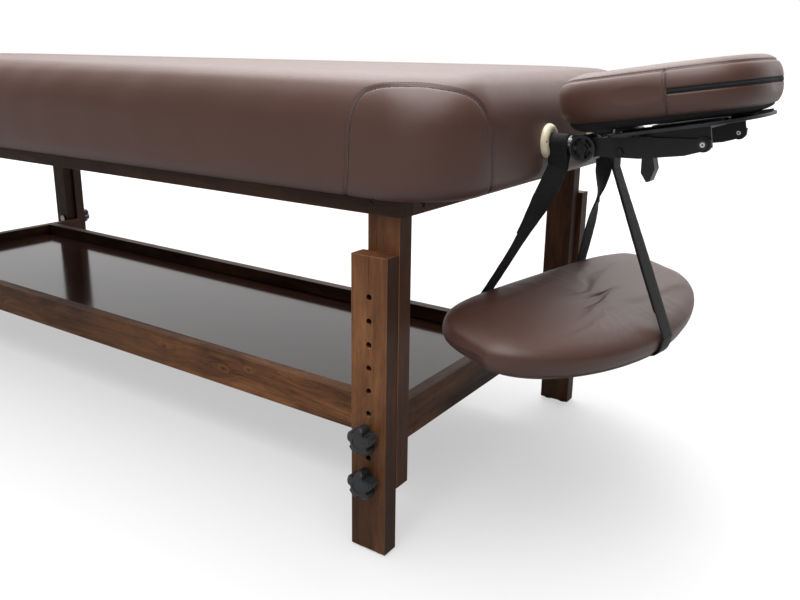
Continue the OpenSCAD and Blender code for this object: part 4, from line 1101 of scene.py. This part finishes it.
def hanging(points, turn_only=False):
    """From the armrest's own frame (across, along, up) to its sloped and skewed place."""
    p = np.asarray(points, float)
    u, v, w = p[..., 0], p[..., 1], p[..., 2]
    x = u * math.cos(REST_SLOPE) + w * math.sin(REST_SLOPE)
    z = w * math.cos(REST_SLOPE) - u * math.sin(REST_SLOPE)
    c, s = math.cos(REST_SKEW), math.sin(REST_SKEW)
    out = np.stack([x * c - v * s, x * s + v * c, z], axis=-1)
    return out if turn_only else out + REST_PLACE


def rest_outline(a, k):
    """Half moon outline at angle a, shrunk to share k: almost straight at the back."""
    hu = REST_DEPTH / 2 * k
    hv = REST_LENGTH / 2 * (1 - (1 - k) * REST_DEPTH / REST_LENGTH)
    back, front = super_radius(a, hu, hv, 4.7), super_radius(a, hu, hv, 1.9)
    r = np.where(np.cos(a) < 0, back, front)
    return np.stack([r * np.cos(a), r * np.sin(a)], axis=-1)


# the cut through the rim, as (share of the thickness, share of the half depth), from below to top
RIM = [
    (-0.5, 0.42), (-0.5, 0.3), (-0.47, 0.16), (-0.36, 0.05), (-0.18, 0.005), (0, 0),
    (0.16, 0.015), (0.29, 0.07), (0.385, 0.16), (0.45, 0.3), (0.485, 0.47),
    (0.498, 0.68), (0.5, 0.84), (0.5, 0.96), (0.5, 0.995),
]
AROUND = 240
rim = even(flowing(RIM, 16) * (REST_H, REST_DEPTH / 2), 1.6 * MM) / (REST_H, REST_DEPTH / 2)
rim = np.vstack([(-0.5, 0.995), (-0.5, 0.8), (-0.5, 0.6), rim])
turns = np.linspace(0, math.tau, AROUND + 1)[:-1]
rest_grid = np.stack([
    np.column_stack([rest_outline(turns, 1 - b), np.full(AROUND, REST_H * a)]) for a, b in rim
])
rest_faces = grid_faces(len(rim), AROUND, loop_columns=True) + end_caps(len(rim), AROUND)
# below the rim the cover is stapled to the board, so it stays
tack = nearest(rim[:, 0], -0.36)
rest_shape = puff(rest_grid, rest_faces, range((tack + 1) * AROUND), 1.5, 2.0)
rest_shape[..., 2] = np.minimum(rest_shape[..., 2], REST_H * 0.5 + 4 * MM)
u, v = rest_shape[..., 0], rest_shape[..., 1]
upper = np.clip((rest_shape[..., 2] - REST_H * 0.2) / (REST_H * 0.25), 0, 1)
# the front strap draws a shallow valley into the pad, and the foam is a little dished
STRAP_U, STRAP_V = 0.113, 0.013
inward = STRAP_U - u
aside = (v - STRAP_V - inward * 0.25) / (12 * MM + 0.35 * np.abs(inward))
pull = np.exp(-(aside**2)) * np.exp(-np.abs(inward) / 0.06)
dish = np.exp(-((u / 0.05) ** 2 + ((v + 0.02) / 0.15) ** 2))
rest_shape[..., 2] -= upper * (3.2 * MM * pull + 2.6 * MM * dish)
round_rim = np.roll(rest_shape, -1, 1) - np.roll(rest_shape, 1, 1)
rest_normal = unit(np.cross(np.gradient(rest_shape, axis=0), round_rim))
rest_normal *= np.sign((rest_normal[nearest(rim[:, 0], 0), 0] * (1, 0, 0)).sum())
welt = nearest(rim[:, 0], -0.3)
rim_run = run_of(rim * (REST_H, REST_DEPTH / 2))
gap = np.abs(rim_run - rim_run[welt])[:, None, None]
rest_shape = rest_shape + rest_normal * groove(gap, 1.1, 1.6)
rest_points = hanging(rest_shape).reshape(-1, 3)
rest = new_piece("armrest_cover", rest_points, rest_faces, leather, "armrest", "brown_leather")
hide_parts("armrest_pad")
# a dark tube sunk in the welt's groove is painted shade for the seam's crease
rest_seam_shadow = hanging(np.vstack([rest_shape[welt], rest_shape[welt][:1]]))
tube("armrest_seam_shadow", rest_seam_shadow, 0.5 * MM, dark_thread_and_seam_shade, body="armrest", slot="brown_leather")
print("armrest points:", len(rest_points))

# %%
STRAP_W, STRAP_T, CLEAR, HAIR = 28 * MM, 1.6 * MM, 0.3 * MM, 0.1 * MM
BAND_HALF = STRAP_T / 2 + HAIR / 2
# the strap's cut, as shares of its width and thickness: flat, with rounded selvedges
SELVEDGE = [
    (-0.5, 0), (-0.488, 0.36), (-0.46, 0.5), (-0.25, 0.5),
    (0, 0.5), (0.25, 0.5), (0.46, 0.5), (0.488, 0.36),
]
STRAP_CUT = SELVEDGE + [(-u, -v) for u, v in SELVEDGE]


def ease(t):
    """Slow start and end, done at 0.7 of the way."""
    k = np.minimum(1, t / 0.7)
    return k * k * (3 - 2 * k)


def strap(name, centre, axis, bar_r, top, bottom, wide_a, wide_b, sag, under, sewn_to):
    """One strap: loop round a bar, two sewn layers, then one layer that goes under the pad.
    `under` are the last points of the strap's middle line, beneath the pad."""
    centre, top, bottom = (np.asarray(p, float) for p in (centre, top, bottom))
    wide_a, wide_b, axis = (np.asarray(p, float) for p in (wide_a, wide_b, axis))

    def band(t):
        t = np.asarray(t, float)[:, None]
        c = top + (bottom - top) * np.concatenate([t**sag, t, t], axis=1)
        slope = np.concatenate([sag * t ** (sag - 1), np.ones_like(t), np.ones_like(t)], axis=1)
        run = unit((bottom - top) * slope)
        w = wide_a * (1 - ease(t)) + wide_b * ease(t)
        w = unit(w - run * (w * run).sum(-1, keepdims=True))
        return c, w, unit(np.cross(run, w))

    ring_r = bar_r + CLEAR + STRAP_T / 2 + HAIR
    meet = 26 * MM / np.linalg.norm(bottom - top)
    c, w, n = band([meet])
    down = unit(c[0] - centre - axis * ((c[0] - centre) @ axis))
    side = np.cross(axis, down)
    side *= np.sign(side @ n[0])
    tangent = math.acos(ring_r / np.linalg.norm(c[0] - centre))
    phi = np.linspace(tangent, math.tau - tangent, 40)[:, None]
    round_bar = centre + ring_r * (np.cos(phi) * down + np.sin(phi) * side)
    round_bar = round_bar + axis * ((c[0] - centre) @ axis)
    long_t, short_t = np.linspace(1, meet, 60), np.linspace(meet, sewn_to, 40)
    cl, wl, nl = band(long_t)
    cs, ws, ns = band(short_t)
    tail = np.asarray(under, float)
    path = np.vstack([tail[::-1], cl + nl * BAND_HALF, round_bar, cs - ns * BAND_HALF])
    wide = [np.repeat(wide_b[None], len(tail), 0), wl, np.repeat(wide_a[None], len(phi), 0), ws]
    wide = np.vstack(wide)
    keep = np.concatenate([[True], np.linalg.norm(np.diff(path, axis=0), axis=1) > 1e-6])
    path, wide = path[keep], wide[keep]
    run = run_of(path)
    spots = np.arange(0, run[-1], 1.5 * MM)
    path = at_run(path, spots)
    wide = unit(np.stack([np.interp(spots, run, wide[:, k]) for k in range(3)], axis=-1))
    along = unit(np.gradient(path, axis=0))
    wide = unit(wide - along * (wide * along).sum(-1, keepdims=True))
    lift = np.cross(along, wide)
    wander = 1 + 0.012 * np.sin(spots * 260)[:, None]
    rows = [path + wide * (u * STRAP_W) * wander + lift * v * STRAP_T for u, v in STRAP_CUT]
    verts = np.stack(rows, axis=1)
    count = len(STRAP_CUT)
    faces = grid_faces(len(spots), count, loop_columns=True) + end_caps(len(spots), count)
    piece = new_piece(name + "_webbing", verts.reshape(-1, 3), faces, web, slot="webbing")
    weave = piece.data.uv_layers.new(name="weave")
    where = np.zeros((len(piece.data.loops), 2))
    index = np.array([loop.vertex_index for loop in piece.data.loops])
    where[:, 0] = spots[index // count]
    where[:, 1] = np.array([u for u, _ in STRAP_CUT])[index % count] * STRAP_W
    weave.data.foreach_set("uv", where.astype(np.float32).ravel())
    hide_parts(name)
    pieces = [piece]
    for k, t in enumerate((meet + 0.02, sewn_to - 0.045, sewn_to - 0.012)):
        c, w, n = band([t])
        ends = np.linspace(-0.42, 0.42, 9)[:, None] * STRAP_W
        line = c + w * ends - n * (BAND_HALF + STRAP_T / 2 + HAIR)
        thread = {"material": grey_thread, "pitch": 2.6, "length": 2.0, "width": 0.5}
        row = stitches("%s_stitches_%d" % (name, k), line, np.repeat(-n, 9, 0), **thread, slot="webbing")
        pieces.append(row)
    for part in pieces:
        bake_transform(part)
    return pieces


def under_rim(side, v, shares):
    """Points that follow the armrest's rim from its edge to beneath the pad."""
    out = []
    for a, b in shares:
        n = np.array((side * (1 - min(1, abs(a) * 2)) + side * 0.15, 0, -abs(a) * 2))
        n = n / np.linalg.norm(n)
        place = np.array((side * REST_DEPTH / 2 * (1 - b), v, REST_H * a))
        out.append(place + n * (STRAP_T / 2 + 0.6 * MM))
    return hanging(flowing(out, 8)[1:])


# the two rods and the cross tube between the hubs, which carry the straps
ROD_Z, ROD_R, ROD_Y, STRAP_X = 0.552, 9.25 * MM, 82 * MM, 781.9354 * MM
HUB_X, HUB_Z, TUBE_R = 817.5354 * MM, 0.548, 9 * MM
BELOW_BAR = CLEAR + 0.9 * MM
DOWN_RIM = [(0, 0), (-0.18, 0.005), (-0.36, 0.05), (-0.47, 0.16), (-0.5, 0.3), (-0.5, 0.5)]
for name, side, share, sewn_to in (("strap_near", -1, -0.225, 0.56), ("strap_far", 1, 0.277, 0.5)):
    strap(
        name, (STRAP_X, side * ROD_Y, ROD_Z), (1, 0, 0), ROD_R,
        (STRAP_X, side * ROD_Y, ROD_Z - ROD_R - BELOW_BAR),
        hanging((-REST_DEPTH / 2 - CLEAR - 1.8 * MM, REST_LENGTH * share, 0)),
        (1, 0, 0), hanging((0, -side, 0), True),
        1.25, under_rim(-1, REST_LENGTH * share, DOWN_RIM), sewn_to,
    )
front_v = REST_LENGTH * 0.025
strap(
    "strap_front", (HUB_X, front_v - STRAP_W / 2, HUB_Z), (0, 1, 0), TUBE_R,
    (HUB_X, front_v - STRAP_W / 2, HUB_Z - TUBE_R - BELOW_BAR),
    hanging((REST_DEPTH / 2 * 0.985 + (1.8 * MM + CLEAR) * 1.3, front_v, REST_H * 0.16)),
    (0, 1, 0), hanging((0, 1, 0), True), 1.0, under_rim(1, front_v, [(0.1, 0.004)] + DOWN_RIM), 0.86,
)
print("straps hung")

# %% [markdown]
# ## Studio and camera
#
# The photograph was taken in a white studio. Here a wide softbox hangs over the table, a rear one
# shines in the crowned tops, and a small front one lets the long side fade toward the foot end. A
# soft sun fills the rest, and the room has a bright wall behind the table. The lamps light the
# object at a plain level. The white floor and background come from what the camera's own rays see:
# the floor glows for them, more so where the lamps don't reach, and keeps its shadow.

# %%
floor_mesh = bpy.data.meshes.new("floor")
floor_mesh.from_pydata([(-30, -30, 0), (30, -30, 0), (30, 30, 0), (-30, 30, 0)], [], [(0, 1, 2, 3)])
floor = bpy.data.objects.new("floor", floor_mesh)
bpy.context.scene.collection.objects.link(floor)
GLOW_NEAR, GLOW_FAR, MIRRORED = 0.5, 1.0, 0.3


def pale_floor(tree):
    """Grey floor that the camera sees lifted to white, and mirrors a little."""
    by_camera = add(tree, "LightPath", give="Is Camera Ray")
    by_mirror = add(tree, "LightPath", give="Is Glossy Ray")
    seen = add(tree, "Math", [by_mirror, MIRRORED, by_camera], operation="MULTIPLY_ADD")
    away = add(tree, "VectorMath", [place_of(tree)], "Value", operation="LENGTH")
    glow = add(tree, "MapRange", [away, 1.2, 3.5, GLOW_NEAR, GLOW_FAR], interpolation_type="SMOOTHSTEP")
    return {
        "Base Color": paint("#9c9c9c"),
        "Roughness": 0.8,
        "Specular IOR Level": 0.0,
        "Emission Color": paint("#ffffff"),
        "Emission Strength": add(tree, "Math", [seen, glow], operation="MULTIPLY"),
    }


floor_mesh.materials.append(finish("studio floor", pale_floor))
print("floor laid")

# %%
INTO_VIEW = (-0.556, 0.831)


def hang_lamp(name, kind, power, **settings):
    """New lamp of a kind, with its power and its settings."""
    light = bpy.data.lights.new(name, kind)
    light.energy = power
    for key, value in settings.items():
        setattr(light, key, value)
    lamp = bpy.data.objects.new(name, light)
    bpy.context.scene.collection.objects.link(lamp)
    return lamp


sun = hang_lamp("overhead light", "SUN", 0.7, angle=math.radians(70))
sun.rotation_euler = Vector((-0.25, -0.13, 1.0)).to_track_quat("Z", "Y").to_euler()

# name, width, length along the view, power, place, and by how many degrees its face leans
softboxes = (
    ("wide softbox", 2.4, 5.0, 172, (0.3, -0.15, 2.7), 0),
    ("rear softbox", 5.0, 1.6, 40, (-0.33, 2.09, 2.4), -45),
    ("front softbox", 1.2, 1.2, 9, (0.6, -2.4, 1.6), 65),
)
for name, width, length, power, place, tilt in softboxes:
    lamp = hang_lamp(name, "AREA", power, shape="RECTANGLE", size=width, size_y=length)
    lamp.location = place
    lamp.rotation_euler = (math.radians(tilt), 0, math.atan2(-INTO_VIEW[0], INTO_VIEW[1]))
print("lamps:", 1 + len(softboxes))

# %%
world = bpy.data.worlds.new("studio")
bpy.context.scene.world = world
world.use_nodes = True
sky = world.node_tree
sky.nodes.clear()
toward = add(sky, "TexCoord", give="Generated")
backward = add(sky, "VectorMath", [toward, (*INTO_VIEW, 0.1)], "Value", operation="DOT_PRODUCT")
upward = add(sky, "SeparateXYZ", [toward], "Z")
back_wall = add(sky, "MapRange", [backward, 0.1, 0.75, 0.0, 1.1], interpolation_type="SMOOTHSTEP")
ceiling = add(sky, "MapRange", [upward, 0.2, 0.9, 0.0, 0.3], interpolation_type="SMOOTHSTEP")
glow = add(sky, "Math", [back_wall, ceiling], operation="MAXIMUM")
glow = add(sky, "Math", [glow, 0.08], operation="ADD")
room = add(sky, "Background", {"Color": paint("#ffffff"), "Strength": glow})
white = add(sky, "Background", {"Color": paint("#ffffff"), "Strength": 1.0})
both = add(sky, "MixShader", [add(sky, "LightPath", give="Is Camera Ray"), room, white])
add(sky, "OutputWorld", {"Surface": both})
bpy.context.scene.view_settings.view_transform = "Standard"
print("room lit")

# %% [markdown]
# The camera repeats the photograph's viewpoint, found by matching the table's edges: it looks down
# a little and leans a little to one side, and its picture is shifted up a touch.

# %%
camera = bpy.data.objects.new("camera", bpy.data.cameras.new("camera"))
bpy.context.scene.collection.objects.link(camera)
YAW, PITCH, ROLL = (math.radians(a) for a in (123.8005, 15.4224, 0.8549))
ahead = Vector((math.cos(PITCH) * math.cos(YAW), math.cos(PITCH) * math.sin(YAW), -math.sin(PITCH)))
right = Vector((math.sin(YAW), -math.cos(YAW), 0))
up = right.cross(ahead)
right, up = (
    right * math.cos(ROLL) + up * math.sin(ROLL),
    up * math.cos(ROLL) - right * math.sin(ROLL),
)
turned = Matrix((right, up, -ahead)).transposed()
camera.matrix_world = Matrix.Translation((1.19594, -1.0854, 0.6651)) @ turned.to_4x4()
camera.data.lens, camera.data.sensor_width = 35.637, 36
camera.data.shift_x, camera.data.shift_y = -0.0025, -0.0375
camera.data.clip_start, camera.data.clip_end = 0.05, 200
bpy.context.scene.camera = camera
print("camera set, lens in millimetres:", camera.data.lens)
